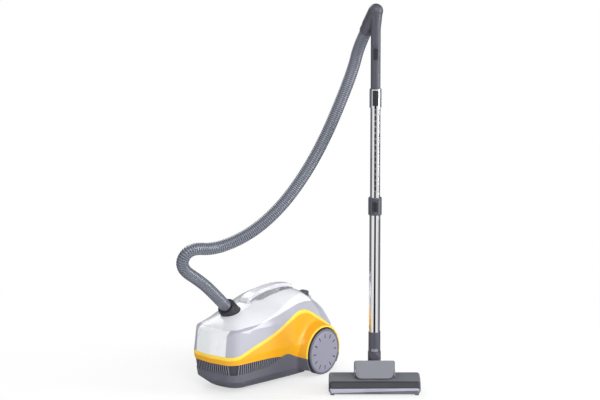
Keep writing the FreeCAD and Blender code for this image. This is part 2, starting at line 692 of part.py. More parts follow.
def make_rear_cover():
    """Rear casing with the fixed end of the crown, the door's opening and the filter's shelf."""
    low = size("belt_end") + seam
    sides = shell.common(upper_region)
    sides = sides.common(slab((low, -far, 0), (far + 60, far, far + 120)))
    crown = shell.cut(below(WAIST, seam))
    crown = crown.common(slab((size("rear_dome_front"), -far, 0), (far + 60, far, far + 120)))
    cover = sides.fuse(crown)
    half = size("door_half")
    shelf_top = size("door_bottom - door_sill")
    opening = slab((size("filter_front"), -half - seam, shelf_top),
                   (far + 60, half + seam, size("door_top") + seam))
    shelf = slab((size("filter_front") - 2, -half - 2, shelf_top - 2.4),
                 (far + 60, half + 2, shelf_top)).common(inner)
    cover = cover.cut(opening).fuse(shelf)
    hinge_start = size("hinge_inner + hinge_width + hinge_gap")
    for side in (-1, 1):
        barrel = hinge_drum(size("hinge_barrel"), hinge_start, size("hinge_width"), side)
        pin = hinge_drum(size("hinge_pin"), size("hinge_inner"), size("hinge_width") + 1, side)
        other = size("hinge_inner") - 0.6
        cover = cover.cut(hinge_drum(size("hinge_barrel") + 0.5, other, size("hinge_width") + 0.8, side))
        cover = cover.fuse([barrel, pin, hinge_lug(1, hinge_start, side)])
        door_pin = drum(2, half - 5, half + seam + 2,
                        Vector(size("door_axis_x"), 0, size("door_axis_z")), Y_AXIS * side)
        cover = cover.fuse(door_pin)
    return cover


def make_exhaust_door():
    """Grilled door over the outlet filter, hung on two pins at its lower edge."""
    half = size("door_half")
    box = slab((size("filter_front") + size("filter_thickness") + 1, -half, size("door_bottom")),
               (far + 60, half, size("door_top")))
    door = shell.common(box)
    slots = []
    height = size("door_bottom") + 9
    while height < size("door_top") - 8:
        slots.append(slab((0, -half + 10, height), (far + 60, half - 10, height + 3)))
        height += 7.5
    door = door.cut(Part.makeCompound(slots))
    axis = Vector(size("door_axis_x"), 0, size("door_axis_z"))
    for side in (-1, 1):
        barrel = drum(3.4, half - 7, half - 0.6, axis, Y_AXIS * side)
        bore = drum(2 + size("running"), half - 8, half + 1, axis, Y_AXIS * side)
        door = door.fuse(barrel).cut(bore)
    return door.removeSplitter()


def make_carrying_handle():
    """Bowed handle that lies over the hand recess and hinges at its front."""
    pivot_x, pivot_z = size("handle_pivot_x"), size("handle_pivot_z")
    thick = size("handle_thickness")
    top = [Vector(pivot_x - 11, 0, pivot_z + 3), Vector(pivot_x, 0, pivot_z + 15),
           Vector(-40, 0, 287), Vector(20, 0, 294), Vector(80, 0, 293), Vector(132, 0, 283)]
    bottom = [point - Vector(0, 0, thick) for point in top]
    bottom[0] = top[0] - Vector(0, 0, thick / 2)
    upper, lower = Part.BSplineCurve(), Part.BSplineCurve()
    upper.interpolate(top)
    lower.interpolate(bottom[::-1])
    ends = [Part.LineSegment(top[-1], bottom[-1]).toShape(),
            Part.LineSegment(bottom[0], top[0]).toShape()]
    outline = Part.Wire([upper.toShape(), ends[0], lower.toShape(), ends[1]])
    half = size("handle_half") - 0.6
    face = Part.Face(outline)
    face.translate(Vector(0, -half, 0))
    bow = face.extrude(Vector(0, 2 * half, 0))
    crown = [edge for edge in bow.Edges if edge.Length > 150 and edge.BoundBox.ZMax > top[3].z - 1]
    bow = bow.makeFillet(size("handle_edge"), crown)
    pins = drum(size("handle_pin"), -size("recess_neck") - 2, size("recess_neck") + 2,
                Vector(pivot_x, 0, pivot_z))
    hub = drum(6, -half, half, Vector(pivot_x, 0, pivot_z))
    return bow.multiFuse([pins, hub]).removeSplitter()


CASING = (
    ("base_tray", make_base_tray()), ("fin_grille", make_fin_grille()),
    ("yellow_shell", make_yellow_shell()), ("side_belt_left", make_belt(-1)),
    ("side_belt_right", make_belt(1)), ("front_panel", make_front_panel()),
    ("hood", make_hood()), ("rear_cover", make_rear_cover()),
    ("exhaust_door", make_exhaust_door()), ("carrying_handle", make_carrying_handle()),
)
for label, casing in CASING:
    subpart(solid_feature(casing), label, canister)


# Helpers for the smaller pieces

ALONG_X = Rotation(Y_AXIS, 90)
LEFTWARD = Rotation(X_AXIS, -90)
RIGHTWARD = Rotation(X_AXIS, 90)


def stand(frame, x, y, z, turn=None):
    """A spot of a piece in an assembly's frame."""
    spot = Vector(size(x), size(y), size(z))
    return frame.multiply(Placement(spot, turn or Rotation()))


def tube(outer_radius, inner_radius, length, at, along="z"):
    """A plain tube from a point along an axis."""
    return cut(cylinder(outer_radius, length, at, along), cylinder(inner_radius, length, at, along))


def arc_pad(inner_radius, outer_radius, width, bottom, height):
    """A curved pad on the -Y side of a tube that stands on Z."""
    ring = tube(outer_radius, inner_radius, height, ("0", "0", bottom))
    window = block(width, outer_radius, height,
                   ("-(" + width + ") / 2", "-(" + outer_radius + ")", bottom))
    return common(ring, window)


def swung(piece, axis, degrees):
    """A piece swung about an axis through its frame's origin."""
    holder = doc.addObject("Part::Compound", "Swung")
    holder.Links = [piece]
    holder.Placement = Placement(Vector(), Rotation(axis, degrees))
    return holder


# Inlet and hose collar, standing on the inlet's axis

def make_hose_collar():
    """Faceted collar with a spigot below and a pocket for its latch."""
    body = doc.addObject("Part::Prism", "Facets")
    body.Polygon = 16
    body.setExpression("Circumradius", bound("collar_radius"))
    body.setExpression("Height", bound("collar_depth + collar_reach"))
    place(body, ("0", "0", "-collar_depth"), Rotation())
    rim = rounded(body, "collar_chamfer", lambda edge: edge.CenterOfMass.z > size("collar_reach") - 1)
    spigot = cylinder("ring_bore - running", "spigot_length + 1",
                      ("0", "0", "-collar_depth - spigot_length"))
    bore = cylinder("hose_bore", "collar_depth + spigot_length + collar_reach + 2",
                    ("0", "0", "-collar_depth - spigot_length - 1"))
    pocket = block("latch_pocket * 4", "latch_width + 2 * latch_gap", "latch_width + 2 * latch_gap",
                   ("collar_radius - latch_pocket - latch_travel - latch_gap",
                    "-latch_width / 2 - latch_gap", "latch_low - latch_gap"))
    pocket = swung(pocket, Z_AXIS, size("latch_angle"))
    return cut(join(rim, spigot), bore, pocket)


def make_latch():
    """Button of the collar's latch, proud of a facet."""
    button = block("latch_height + latch_pocket", "latch_width", "latch_width",
                   ("collar_radius - latch_pocket", "-latch_width / 2", "latch_low"))
    turning_room = cylinder("inlet_bore - latch_room", "latch_width + 2", ("0", "0", "latch_low - 1"))
    return common(button, turning_room)


subpart(turned([
    ("ring_bore", "-ring_bottom"), ("inlet_bore - running", "-ring_bottom"),
    ("inlet_bore - running", "-ring_top"), ("ring_bore", "-ring_top"),
]), "inlet_ring", inlet)
subpart(turned([
    ("ring_bore + 2", "-ring_top"), ("collar_radius - 1", "-ring_top"),
    ("collar_radius - 1", "-ring_top + seal_thickness"),
    ("ring_bore + 2", "-ring_top + seal_thickness"),
]), "inlet_seal", inlet)
subpart(make_hose_collar(), "hose_collar", inlet)
latch_turn = Placement(Vector(), Rotation(Z_AXIS, size("latch_angle")))
subpart(make_latch(), "collar_latch", inlet.multiply(latch_turn))


# Hose

def handle_spot(distance):
    """A point on the swivel's axis in the canister's frame."""
    along = unit(size("swivel_left"), size("swivel_back"), size("swivel_down"))
    spot = Vector(0, 0, size("ball_z")) + along * distance
    return canister.inverse().multVec(wand.multVec(spot))


def route_pieces(points):
    """Straight runs and tangent arcs along a route, each with its length."""
    pieces = []
    start = points[0]
    for before, here, after in zip(points, points[1:], points[2:]):
        back, onward = before - here, after - here
        half_angle = back.getAngle(onward) / 2
        reach = min(back.Length, onward.Length) * size("bend_share")
        radius = reach * math.tan(half_angle)
        back.normalize()
        onward.normalize()
        bend_start, bend_end = here + back * reach, here + onward * reach
        pieces.append((start, bend_start, None, None))
        middle = (back + onward).normalize()
        centre = here + middle * (radius / math.sin(half_angle))
        pieces.append((bend_start, bend_end, centre, math.pi - 2 * half_angle))
        start = bend_end
    pieces.append((start, points[-1], None, None))
    return pieces


def stations(pieces, spacing):
    """Evenly spaced centres and directions along a route."""
    lengths = []
    for start, end, centre, angle in pieces:
        lengths.append((end - start).Length if centre is None else (start - centre).Length * angle)
    total = sum(lengths)
    count = max(2, round(total / spacing))
    found = []
    for index in range(count + 1):
        left = total * index / count
        number = 0
        while number < len(pieces) - 1 and left > lengths[number]:
            left -= lengths[number]
            number += 1
        start, end, centre, angle = pieces[number]
        if centre is None:
            direction = (end - start).normalize()
            found.append((start + direction * left, direction))
            continue
        arm = start - centre
        axis = arm.cross(end - centre).normalize()
        turn = Rotation(axis, math.degrees(left / arm.Length))
        outward = turn.multVec(arm)
        found.append((centre + outward, axis.cross(outward).normalize()))
    return found, total


def ring_at(centre, direction, radius, steady):
    """A circle across a route, its start kept to one side."""
    sideways = (steady - direction * steady.dot(direction)).normalize()
    frame = Rotation(sideways, direction.cross(sideways), direction, "XYZ")
    flat = Part.Circle(Vector(), Z_AXIS, radius).toShape()
    flat.Placement = Placement(centre, frame)
    return Part.Wire([flat])


def make_hose():
    """Ribbed hose: four rings for each rib and a plain bore."""
    lead = size("hose_lead")
    start = inlet_point + inlet_axis * size("collar_reach")
    end = handle_spot(size("cuff_reach"))
    last = handle_spot(size("cuff_reach") + lead)
    points = [start, start + inlet_axis * lead] + [Vector(*spot) for spot in HOSE_ROUTE] + [last, end]
    pieces = route_pieces(points)
    for piece in pieces:
        if piece[2] is not None:
            print("hose bend radius", round((piece[0] - piece[2]).Length, 1))
    found, total = stations(pieces, 1)
    print("hose length", round(total, 1))
    ribs = int(size("rib_count"))
    found, total = stations(pieces, total / (4 * ribs))
    radius, height = size("hose_radius"), size("rib_height")
    steady = Vector(0.3, 0.95, 0.1)
    profile = (radius - height, radius, radius, radius - height)
    outer_rings, inner_rings = [], []
    for index, (centre, direction) in enumerate(found):
        outer_rings.append(ring_at(centre, direction, profile[index % 4], steady))
        if index % 4 == 0:
            inner_rings.append(ring_at(centre, direction, size("hose_bore"), steady))
    gaps = []
    step = total / (len(found) - 1)
    apart = math.ceil(math.pi * 2 * radius / step)
    for first in range(0, len(found), 4):
        for second in range(first + apart, len(found), 4):
            gaps.append((found[first][0] - found[second][0]).Length - 2 * radius)
    print("least gap of the hose to itself", round(min(gaps), 1))
    skin = Part.makeLoft(outer_rings, True, True)
    bore = Part.makeLoft(inner_rings, True, True)
    return skin.cut(bore)


subpart(solid_feature(make_hose()), "suction_hose", canister)


# Pedals

def make_pedal():
    """Rounded post of a foot pedal."""
    post = block("pedal_side", "pedal_side", "pedal_top - pedal_bottom",
                 ("-pedal_side / 2", "-pedal_side / 2", "pedal_bottom"), "pedal_corner")
    top = size("pedal_top")
    return rounded(post, "pedal_edge", lambda edge: edge.CenterOfMass.z > top - 0.01)


def make_spring():
    """Coil spring under a pedal."""
    wire = size("spring_wire")
    height = size("pedal_bottom - pedal_box_floor") - 2 * wire - 0.1
    turns = size("spring_turns")
    helix = Part.makeHelix(height / turns, height, size("spring_radius"))
    section = Part.Circle(Vector(size("spring_radius"), 0, 0), Y_AXIS, wire).toShape()
    return Part.Wire(helix.Edges).makePipeShell([Part.Wire([section])], True, True)


subpart(make_pedal(), "power_pedal", stand(canister, "pedal_x", "-pedal_y", "0"))
subpart(make_pedal(), "rewind_pedal", stand(canister, "pedal_x", "pedal_y", "0"))
for label, across in (("power", "-pedal_y"), ("rewind", "pedal_y")):
    seat = stand(canister, "pedal_x", across, "pedal_box_floor + spring_wire + 0.05")
    subpart(solid_feature(make_spring()), label + "_spring", seat)


# Dust bin, filter and duct

def make_dust_bin():
    """Open bin with rounded upright edges."""
    outside = block("bin_rear - bin_front", "2 * bin_half", "bin_top - bin_floor",
                    ("bin_front", "-bin_half", "bin_floor"), "bin_corner")
    inside = block("bin_rear - bin_front - 2 * bin_wall", "2 * bin_half - 2 * bin_wall",
                   "bin_top - bin_floor",
                   ("bin_front + bin_wall", "-bin_half + bin_wall", "bin_floor + bin_wall"),
                   "bin_corner - bin_wall")
    return cut(outside, inside)


def make_bin_lid():
    """Lid of the bin with the duct's port and the outlet to the motor."""
    plate = block("bin_rear - bin_front", "2 * bin_half", "bin_lid",
                  ("bin_front", "-bin_half", "bin_top"), "bin_corner")
    port = cylinder("duct_radius - duct_wall", "bin_lid + 2", ("bin_port_x", "0", "bin_top - 1"))
    outlet = cylinder("motor_eye", "bin_lid + 2", ("bin_rear - bin_corner - motor_eye", "0", "bin_top - 1"))
    return cut(plate, port, outlet)


subpart(make_dust_bin(), "dust_bin", canister)
subpart(make_bin_lid(), "bin_lid", canister)
subpart(block("2 * filter_length", "2 * filter_half", "filter_height",
              ("bin_rear - bin_wall - 2 * filter_length - 1", "-filter_half",
               "bin_floor + bin_wall"), "filter_corner"), "bin_filter", canister)


def make_duct():
    """Bent duct from the inlet's ring down to the bin's port."""
    start = inlet_point - inlet_axis * (size("ring_bottom") + 0.1)
    run = (size("bin_port_x") - start.x) / -inlet_axis.x
    corner = start - inlet_axis * run
    bottom = size("bin_top + bin_lid") + 0.1
    parts = []
    for radius, extra in ((size("duct_radius"), 0), (size("duct_radius - duct_wall"), 1)):
        slope = Part.makeCylinder(radius, run + extra, start + inlet_axis * extra, inlet_axis * -1)
        drop = Part.makeCylinder(radius, corner.z - bottom + extra,
                                 Vector(corner.x, 0, bottom - extra), Z_AXIS)
        elbow = Part.makeSphere(radius, corner)
        parts.append(slope.multiFuse([drop, elbow]))
    return parts[0].cut(parts[1]).removeSplitter()


subpart(solid_feature(make_duct()), "inlet_duct", canister)


# Motor, on an axis along X

motor_place = stand(canister, "motor_front", "0", "motor_z", ALONG_X)
subpart(turned([
    ("motor_eye", "0"), ("motor_radius", "0"), ("motor_radius", "motor_length"),
    ("shaft_radius + running", "motor_length"),
    ("shaft_radius + running", "motor_length - 3 * motor_wall"),
    ("shaft_radius * 3", "motor_length - 3 * motor_wall"),
    ("shaft_radius * 3", "motor_length - motor_wall"),
    ("motor_radius - motor_wall", "motor_length - motor_wall"),
    ("motor_radius - motor_wall", "fan_room + motor_wall"),
    ("shaft_radius + running", "fan_room + motor_wall"), ("shaft_radius + running", "fan_room"),
    ("motor_radius - motor_wall", "fan_room"), ("motor_radius - motor_wall", "motor_wall"),
    ("motor_eye", "motor_wall"),
]), "motor_housing", motor_place)
subpart(turned([
    ("armature_radius + 1", "stator_start"),
    ("motor_radius - motor_wall - press_gap", "stator_start"),
    ("motor_radius - motor_wall - press_gap", "stator_start + stator_length"),
    ("armature_radius + 1", "stator_start + stator_length"),
]), "motor_stator", motor_place)
subpart(turned([
    ("0", "motor_wall + 2"), ("shaft_radius", "motor_wall + 2"), ("shaft_radius", "stator_start + 2"),
    ("armature_radius", "stator_start + 2"),
    ("armature_radius", "stator_start + stator_length - 2"),
    ("shaft_radius", "stator_start + stator_length - 2"),
    ("shaft_radius", "motor_length - 0.5"), ("0", "motor_length - 0.5"),
]), "motor_rotor", motor_place)


def make_fan():
    """Fan wheel with straight blades on a disc."""
    parts = [cylinder("fan_radius", "2", ("0", "0", "fan_room - 4")),
             cylinder("3 * shaft_radius", "fan_width", ("0", "0", "fan_room - 2 - fan_width"))]
    for number in range(int(size("fan_blades"))):
        blade = block("fan_radius - 2.5 * shaft_radius - 1", "2", "fan_width - 2",
                      ("2.5 * shaft_radius", "-1", "fan_room - 2 - fan_width"))
        parts.append(swung(blade, Z_AXIS, 360 * number / size("fan_blades")))
    bore = cylinder("shaft_radius + press_gap", "fan_room", ("0", "0", "0"))
    return cut(join(*parts), bore)


subpart(make_fan(), "fan_impeller", motor_place)


def make_motor_mounts():
    """Two rubber rings with the web that ties them."""
    rings = []
    for start in ("0", "motor_length - mount_width"):
        rings.append(tube("motor_radius + mount_thickness", "motor_radius + running",
                          "mount_width", ("0", "0", start)))
    web = tube("motor_radius + mount_thickness / 2", "motor_radius + running",
               "motor_length - mount_width", ("0", "0", "mount_width / 2"))
    strip = block("motor_radius", "mount_web", "motor_length",
                  ("motor_radius / 2", "-mount_web / 2", "0"))
    return join(rings[0], rings[1], common(web, strip))


subpart(make_motor_mounts(), "motor_mounts", motor_place)


# Cord reel

def make_spindle():
    """Plate on the bulkheads with the reel's spindle."""
    plate = block("motor_length + 4", "2 * well_y - 60", "spindle_plate",
                  ("-(motor_length + 4) / 2", "-well_y + 30", "0"))
    pin = cylinder("spindle_radius", "spindle_plate + reel_lift + reel_height", ("0", "0", "0"))
    return join(plate, pin)


reel_place = stand(canister, "reel_x", "0", "bulkhead_top")
subpart(make_spindle(), "reel_spindle", reel_place)
bottom = "spindle_plate + reel_lift"
subpart(turned([
    ("spindle_radius + running", bottom), ("reel_radius", bottom),
    ("reel_radius", bottom + " + flange"), ("reel_hub", bottom + " + flange"),
    ("reel_hub", bottom + " + reel_height - flange"),
    ("reel_radius", bottom + " + reel_height - flange"),
    ("reel_radius", bottom + " + reel_height"), ("spindle_radius + running", bottom + " + reel_height"),
]), "cord_reel", reel_place)


# Control board and cord outlet

def make_board():
    """Circuit board with its main parts, on spacers against the rear bulkhead."""
    base = "motor_front + motor_length - mount_width / 2 + bulkhead / 2 + 0.1"
    face = base + " + board_stand"
    plate = block("board_thickness", "2 * board_half", "board_top - board_bottom",
                  (face, "-board_half", "board_bottom"))
    parts = [plate]
    for across in ("-board_half + 6", "board_half - 6"):
        parts.append(cylinder("3", "board_stand + 0.5", (base, across, "board_top - 6"), "x"))
    parts.append(cylinder("8", "22", (face + " + 1", "-20", "board_bottom + 30"), "x"))
    parts.append(block("14", "26", "18", (face + " + 1", "6", "board_bottom + 12")))
    parts.append(block("10", "18", "12", (face + " + 1", "-30", "board_top - 20")))
    return join(*parts)


subpart(make_board(), "control_board", canister)


def make_outlet():
    """Gland that the mains cord leaves through."""
    bush = cylinder("outlet_radius", "outlet_reach", ("outlet_start", "outlet_y", "outlet_z"), "x")
    flange = cylinder("outlet_radius + 2", "2.5", ("outlet_start", "outlet_y", "outlet_z"), "x")
    bore = cylinder("outlet_bore", "outlet_reach + 2", ("outlet_start - 1", "outlet_y", "outlet_z"), "x")
    return cut(join(bush, flange), bore)


subpart(make_outlet(), "cord_outlet", canister)
subpart(block("filter_thickness", "2 * door_half - 4", "door_top - door_bottom + door_sill - 0.4",
              ("filter_front + 0.5", "-door_half + 2", "door_bottom - door_sill + 0.2"), "2"),
        "exhaust_filter", canister)


# Wheels, each standing on its outer face's centre with Z inwards

def make_wheel():
    """Wheel with a hub cap, its ring of slots and a blind hub."""
    disc = cylinder("wheel_radius - tyre_height - press_gap", "wheel_width - 3", ("0", "0", "1.5"))
    face = cone("wheel_radius - tyre_height - 7", "wheel_radius - tyre_height - 4", "1.5",
                ("0", "0", "0"))
    hollow = tube("wheel_radius - tyre_height - 4", "hub_radius", "wheel_width", ("0", "0", "6"))
    bore = cylinder("axle_radius + running", "wheel_width", ("0", "0", "8"))
    tools = [hollow, bore]
    for number in range(int(size("slot_count"))):
        slot = block("slot_length", "slot_width", "4",
                     ("wheel_radius - tyre_height - 9 - slot_length", "-slot_width / 2", "-2.4"))
        tools.append(swung(slot, Z_AXIS, 360 * number / size("slot_count")))
    return cut(join(disc, face), *tools)


def tyre_profile():
    """Half section of a tyre with chamfered shoulders."""
    seat = "wheel_radius - tyre_height"
    return [
        (seat, "0.6"), ("wheel_radius - 3.4", "0.6"), ("wheel_radius - 1", "2"),
        ("wheel_radius", "5"), ("wheel_radius", "wheel_width - 5"),
        ("wheel_radius - 1", "wheel_width - 2"), ("wheel_radius - 3.4", "wheel_width - 0.6"),
        (seat, "wheel_width - 0.6"),
    ]


def make_axle():
    """Axle with a head inside the wheel well's boss."""
    reach = "wheel_outer_y - well_y"
    pin = cylinder("axle_radius", reach + " + 19 - 9", ("0", "0", "9"))
    head = cylinder("axle_head", "3", ("0", "0", reach + " + 18.3"))
    return join(pin, head)


for label, across, turn in (("left", "-wheel_outer_y", LEFTWARD), ("right", "wheel_outer_y", RIGHTWARD)):
    hub = stand(canister, "wheel_x", across, "wheel_radius", turn)
    subpart(turned(tyre_profile()), "tyre_" + label, hub)
    subpart(make_wheel(), "wheel_" + label, hub)
    subpart(make_axle(), "axle_" + label, hub)


# Front caster

def make_fork():
    """Swivelling fork with its stem."""
    half = "caster_width / 2 + 0.5 + fork_arm"
    plate = cylinder("caster_plate", "3", ("0", "0", "caster_roof - 4"))
    stem = cylinder("stem_radius", "bin_floor - caster_roof + 0.4", ("0", "0", "caster_roof - 4"))
    length = "caster_trail + 5 + 6"
    arms = block(length, "2 * (" + half + ")", "caster_roof - 1 - 8",
                 ("-6", "-(" + half + ")", "8"))
    space = block("60", "caster_width + 1", "caster_roof - 4", ("-30", "-(caster_width + 1) / 2", "0"))
    pin = cylinder("caster_pin", "2 * (" + half + ")",
                   ("caster_trail", "-(" + half + ")", "caster_wheel"), "y")
    return join(cut(join(plate, stem, arms), space), pin)


caster_place = stand(canister, "caster_x", "0", "0")
subpart(make_fork(), "caster_fork", caster_place)
subpart(tube("caster_wheel", "caster_pin + running", "caster_width",
             ("caster_trail", "-caster_width / 2", "caster_wheel"), "y"), "caster_wheel", caster_place)


# Hand grip, in the wand's frame

swivel_axis = unit(size("swivel_left"), size("swivel_back"), size("swivel_down"))
swivel_turn = Rotation(Z_AXIS, swivel_axis)
ball_point = Vector(0, 0, size("ball_z"))


def swivel_cylinder(radius, start, end):
    """A cylinder along the swivel's axis from the ball's centre."""
    piece = doc.addObject("Part::Cylinder", "Swivel")
    piece.setExpression("Radius", bound(radius))
    piece.setExpression("Height", bound("(" + end + ") - (" + start + ")"))
    piece.Placement = Placement(ball_point + swivel_axis * size(start), swivel_turn)
    return piece


def make_handle():
    """Grip with the wand's socket below and the ball and swivel above."""
    shaft = cylinder("handle_radius", "cone_bottom - socket_bottom", ("0", "0", "socket_bottom"))
    socket = cylinder("socket_radius", "socket_top - socket_bottom", ("0", "0", "socket_bottom"))
    flare = cone("handle_radius", "ball_radius - 2", "ball_z - 8 - cone_bottom", ("0", "0", "cone_bottom"))
    sphere = ball("ball_radius", ("0", "0", "ball_z"))
    arm = swivel_cylinder("swivel_radius", "0", "swivel_socket")
    seat = cylinder("upper_radius + running", "tube_end - socket_bottom + 1", ("0", "0", "socket_bottom - 1"))
    bore = cylinder("handle_bore", "ball_z - tube_end", ("0", "0", "tube_end - 1"))
    hollow = ball("ball_radius - 3.5", ("0", "0", "ball_z"))
    mouth = swivel_cylinder("cuff_spigot + running", "12", "swivel_socket + 1")
    window = arc_pad("upper_radius - 1", "socket_radius + 3", "tongue_width + 2 * latch_gap",
                     "tongue_bottom - latch_gap", "tongue_height + 2 * latch_gap")
    groove = arc_pad("handle_radius - 1.4", "handle_radius + 3", "slider_width + 2 * latch_gap",
                     "slider_z - slider_length / 2 - latch_gap",
                     "slider_length + slider_travel + 2 * latch_gap")
    body = join(shaft, socket, flare, sphere, arm)
    return cut(body, seat, bore, hollow, mouth, window, groove)


subpart(make_handle(), "handle_shell", wand)
subpart(arc_pad("handle_radius - 1.1", "handle_radius + 1.3", "slider_width",
                "slider_z - slider_length / 2", "slider_length"), "air_slider", wand)
subpart(arc_pad("upper_radius + tongue_travel + 0.3", "socket_radius + 1.6", "tongue_width",
                "tongue_bottom", "tongue_height"), "lock_tongue", wand)
swivel_place = wand.multiply(Placement(ball_point, swivel_turn))
subpart(turned([
    ("hose_bore", "swivel_socket - cuff_insert"), ("cuff_spigot", "swivel_socket - cuff_insert"),
    ("cuff_spigot", "swivel_socket + 0.4"), ("cuff_radius", "swivel_socket + 0.4"),
    ("cuff_radius", "cuff_reach - 3"), ("cuff_radius - 2", "cuff_reach"),
    ("hose_bore", "cuff_reach"),
]), "hose_cuff", swivel_place)


# Telescopic tube, in the wand's frame

def make_upper_tube():
    """Upper chrome tube with a slot for the detent strip."""
    pipe = tube("upper_radius", "upper_radius - upper_wall", "tube_end - 0.5 - upper_bottom",
                ("0", "0", "upper_bottom"))
    slot = block("strip_width + 2 * press_gap", "10", "notch_top - notch_bottom + 2 * press_gap",
                 ("-strip_width / 2 - press_gap", "-upper_radius - 5", "notch_bottom - press_gap"))
    return cut(pipe, slot)


def make_detent_strip():
    """Strip with a row of detent notches, let into the upper tube."""
    rail = block("strip_width", "strip_depth", "notch_top - notch_bottom",
                 ("-strip_width / 2", "-upper_radius + 0.5", "notch_bottom"))
    tools = []
    for number in range(int(size("notch_count"))):
        low = "notch_top - 6 - notch_length - notch_pitch * " + str(number)
        tools.append(block("notch_width", "notch_depth", "notch_length",
                           ("-notch_width / 2", "-upper_radius", low)))
    return cut(rail, *tools)


subpart(make_upper_tube(), "upper_tube", wand)
subpart(make_detent_strip(), "detent_strip", wand)
subpart(turned([
    ("lower_radius - lower_wall", "tube_seat"), ("lower_radius", "tube_seat"),
    ("lower_radius", "lower_top"), ("lower_radius - lower_wall", "lower_top"),
]), "lower_tube", wand)


def make_lock_collar():
    """Lock of the telescope with the slider's track."""
    body = cylinder("lock_radius", "lock_top - lock_bottom", ("0", "0", "lock_bottom"))
    body = rounded(body, "2", lambda edge: edge.Length > 100)
    seat = cylinder("lower_radius + press_gap", "lower_top - lock_bottom + 1 + press_gap",
                    ("0", "0", "lock_bottom - 1"))
    bore = cylinder("upper_radius + running", "lock_top - lock_bottom + 2", ("0", "0", "lock_bottom - 1"))
    track = arc_pad("lock_radius - 1.8", "lock_radius + 4", "lock_slider_width + 2 * latch_gap",
                    "lock_slider_low - lock_slider_travel - latch_gap",
                    "lock_slider_length + 2 * lock_slider_travel + 2 * latch_gap")
    return cut(body, seat, bore, track)


subpart(make_lock_collar(), "lock_collar", wand)
subpart(arc_pad("lock_radius - 1.5", "lock_radius + 2", "lock_slider_width", "lock_slider_low",
                "lock_slider_length"), "collar_slider", wand)


def make_connector():
    """End connector between the lower tube and the elbow."""
    body = cylinder("connector_radius", "connector_top - connector_bottom", ("0", "0", "connector_bottom"))
    body = rounded(body, "1.5", lambda edge: edge.CenterOfMass.z > size("connector_top") - 1)
    seat = cylinder("lower_radius + press_gap", "connector_top - tube_seat + 1 + press_gap",
                    ("0", "0", "tube_seat - press_gap"))
    bore = cylinder("elbow_spigot + running", "connector_top - connector_bottom",
                    ("0", "0", "connector_bottom - 1"))
    window = arc_pad("elbow_spigot + 0.6", "connector_radius + 4", "button_width + 2 * latch_gap",
                     "button_z - button_height / 2 - latch_gap", "button_height + 2 * latch_gap")
    return cut(body, seat, bore, window)


def make_button():
    """Oval release button."""
    pad = arc_pad("elbow_spigot + 2.2", "connector_radius + 1.4", "button_width",
                  "button_z - button_height / 2", "button_height")
    oval = block("button_width", "40", "button_height",
                 ("-button_width / 2", "-40", "button_z - button_height / 2"))
    corner = rounded(oval, "button_height * 0.45",
                     lambda edge: abs(edge.tangentAt(edge.FirstParameter).y) > 0.99)
    return common(pad, corner)


subpart(make_connector(), "end_connector", wand)
subpart(make_button(), "release_button", wand)


def make_elbow():
    """Swivel elbow with its spigot above and the pivot's barrel below."""
    neck = cylinder("elbow_radius", "elbow_top - elbow_low", ("0", "0", "elbow_low"))
    spigot = cylinder("elbow_spigot", "spigot_top - elbow_top + 1", ("0", "0", "elbow_top - 1"))
    barrel = cylinder("pivot_barrel", "2 * pivot_half", ("-pivot_half", "pivot_y", "pivot_z"))
    barrel.Placement = Placement(barrel.Placement.Base, ALONG_X)
    web = block("2 * pivot_half - 4", "elbow_radius + pivot_y - 3.2", "elbow_low - pivot_z + 8",
                ("-pivot_half + 2", "-elbow_radius + 7.2", "pivot_z"))
    bore = cylinder("handle_bore", "spigot_top - pivot_z", ("0", "0", "pivot_z + 2"))
    hole = cylinder("pivot_pin + running", "2 * pivot_half + 2", ("-pivot_half - 1", "pivot_y", "pivot_z"))
    hole.Placement = Placement(hole.Placement.Base, ALONG_X)
    disc = cylinder("elbow_disc", "4", ("0", "-elbow_radius - 1.2", "elbow_top - 14"), "y")
    return cut(join(neck, spigot, barrel, web, disc), bore, hole)


subpart(make_elbow(), "elbow", wand)


# Floor nozzle, in the wand's frame

def nozzle_outline(inset):
    """Side outline of the nozzle's head."""
    low = size("nozzle_base")
    front, rear, top = size("nozzle_front") + inset, size("nozzle_rear") - inset, size("nozzle_top") - inset
    corners = [
        (front + 4, low, 1.5), (front, low + 16, 14), (front + 12, top - 9, 16), (front + 42, top, 40),
        (rear - 28, top, 30), (rear, low + 28, 12), (rear, low, 1.5),
    ]
    wire = rounded_wire(corners, 0)
    wire.Placement = Placement(Vector(), Rotation(Y_AXIS, Z_AXIS, X_AXIS, "XYZ"))
    return wire


def nozzle_prism(inset):
    """The nozzle's head as a prism across its width."""
    half = size("nozzle_half") - inset
    face = Part.Face(nozzle_outline(inset))
    face.translate(Vector(-half, 0, 0))
    prism = face.extrude(Vector(2 * half, 0, 0))
    corner = size("nozzle_corner") - inset
    ends = [edge for edge in prism.Edges
            if abs(abs(edge.CenterOfMass.x) - half) < 0.01 and edge.CenterOfMass.z > size("nozzle_base") + 1]
    return prism.makeFillet(corner, ends)


def x_drum(radius, start, end, across, up):
    """A cylinder along X in the wand's frame."""
    return Part.makeCylinder(radius, end - start, Vector(start, across, up), X_AXIS)


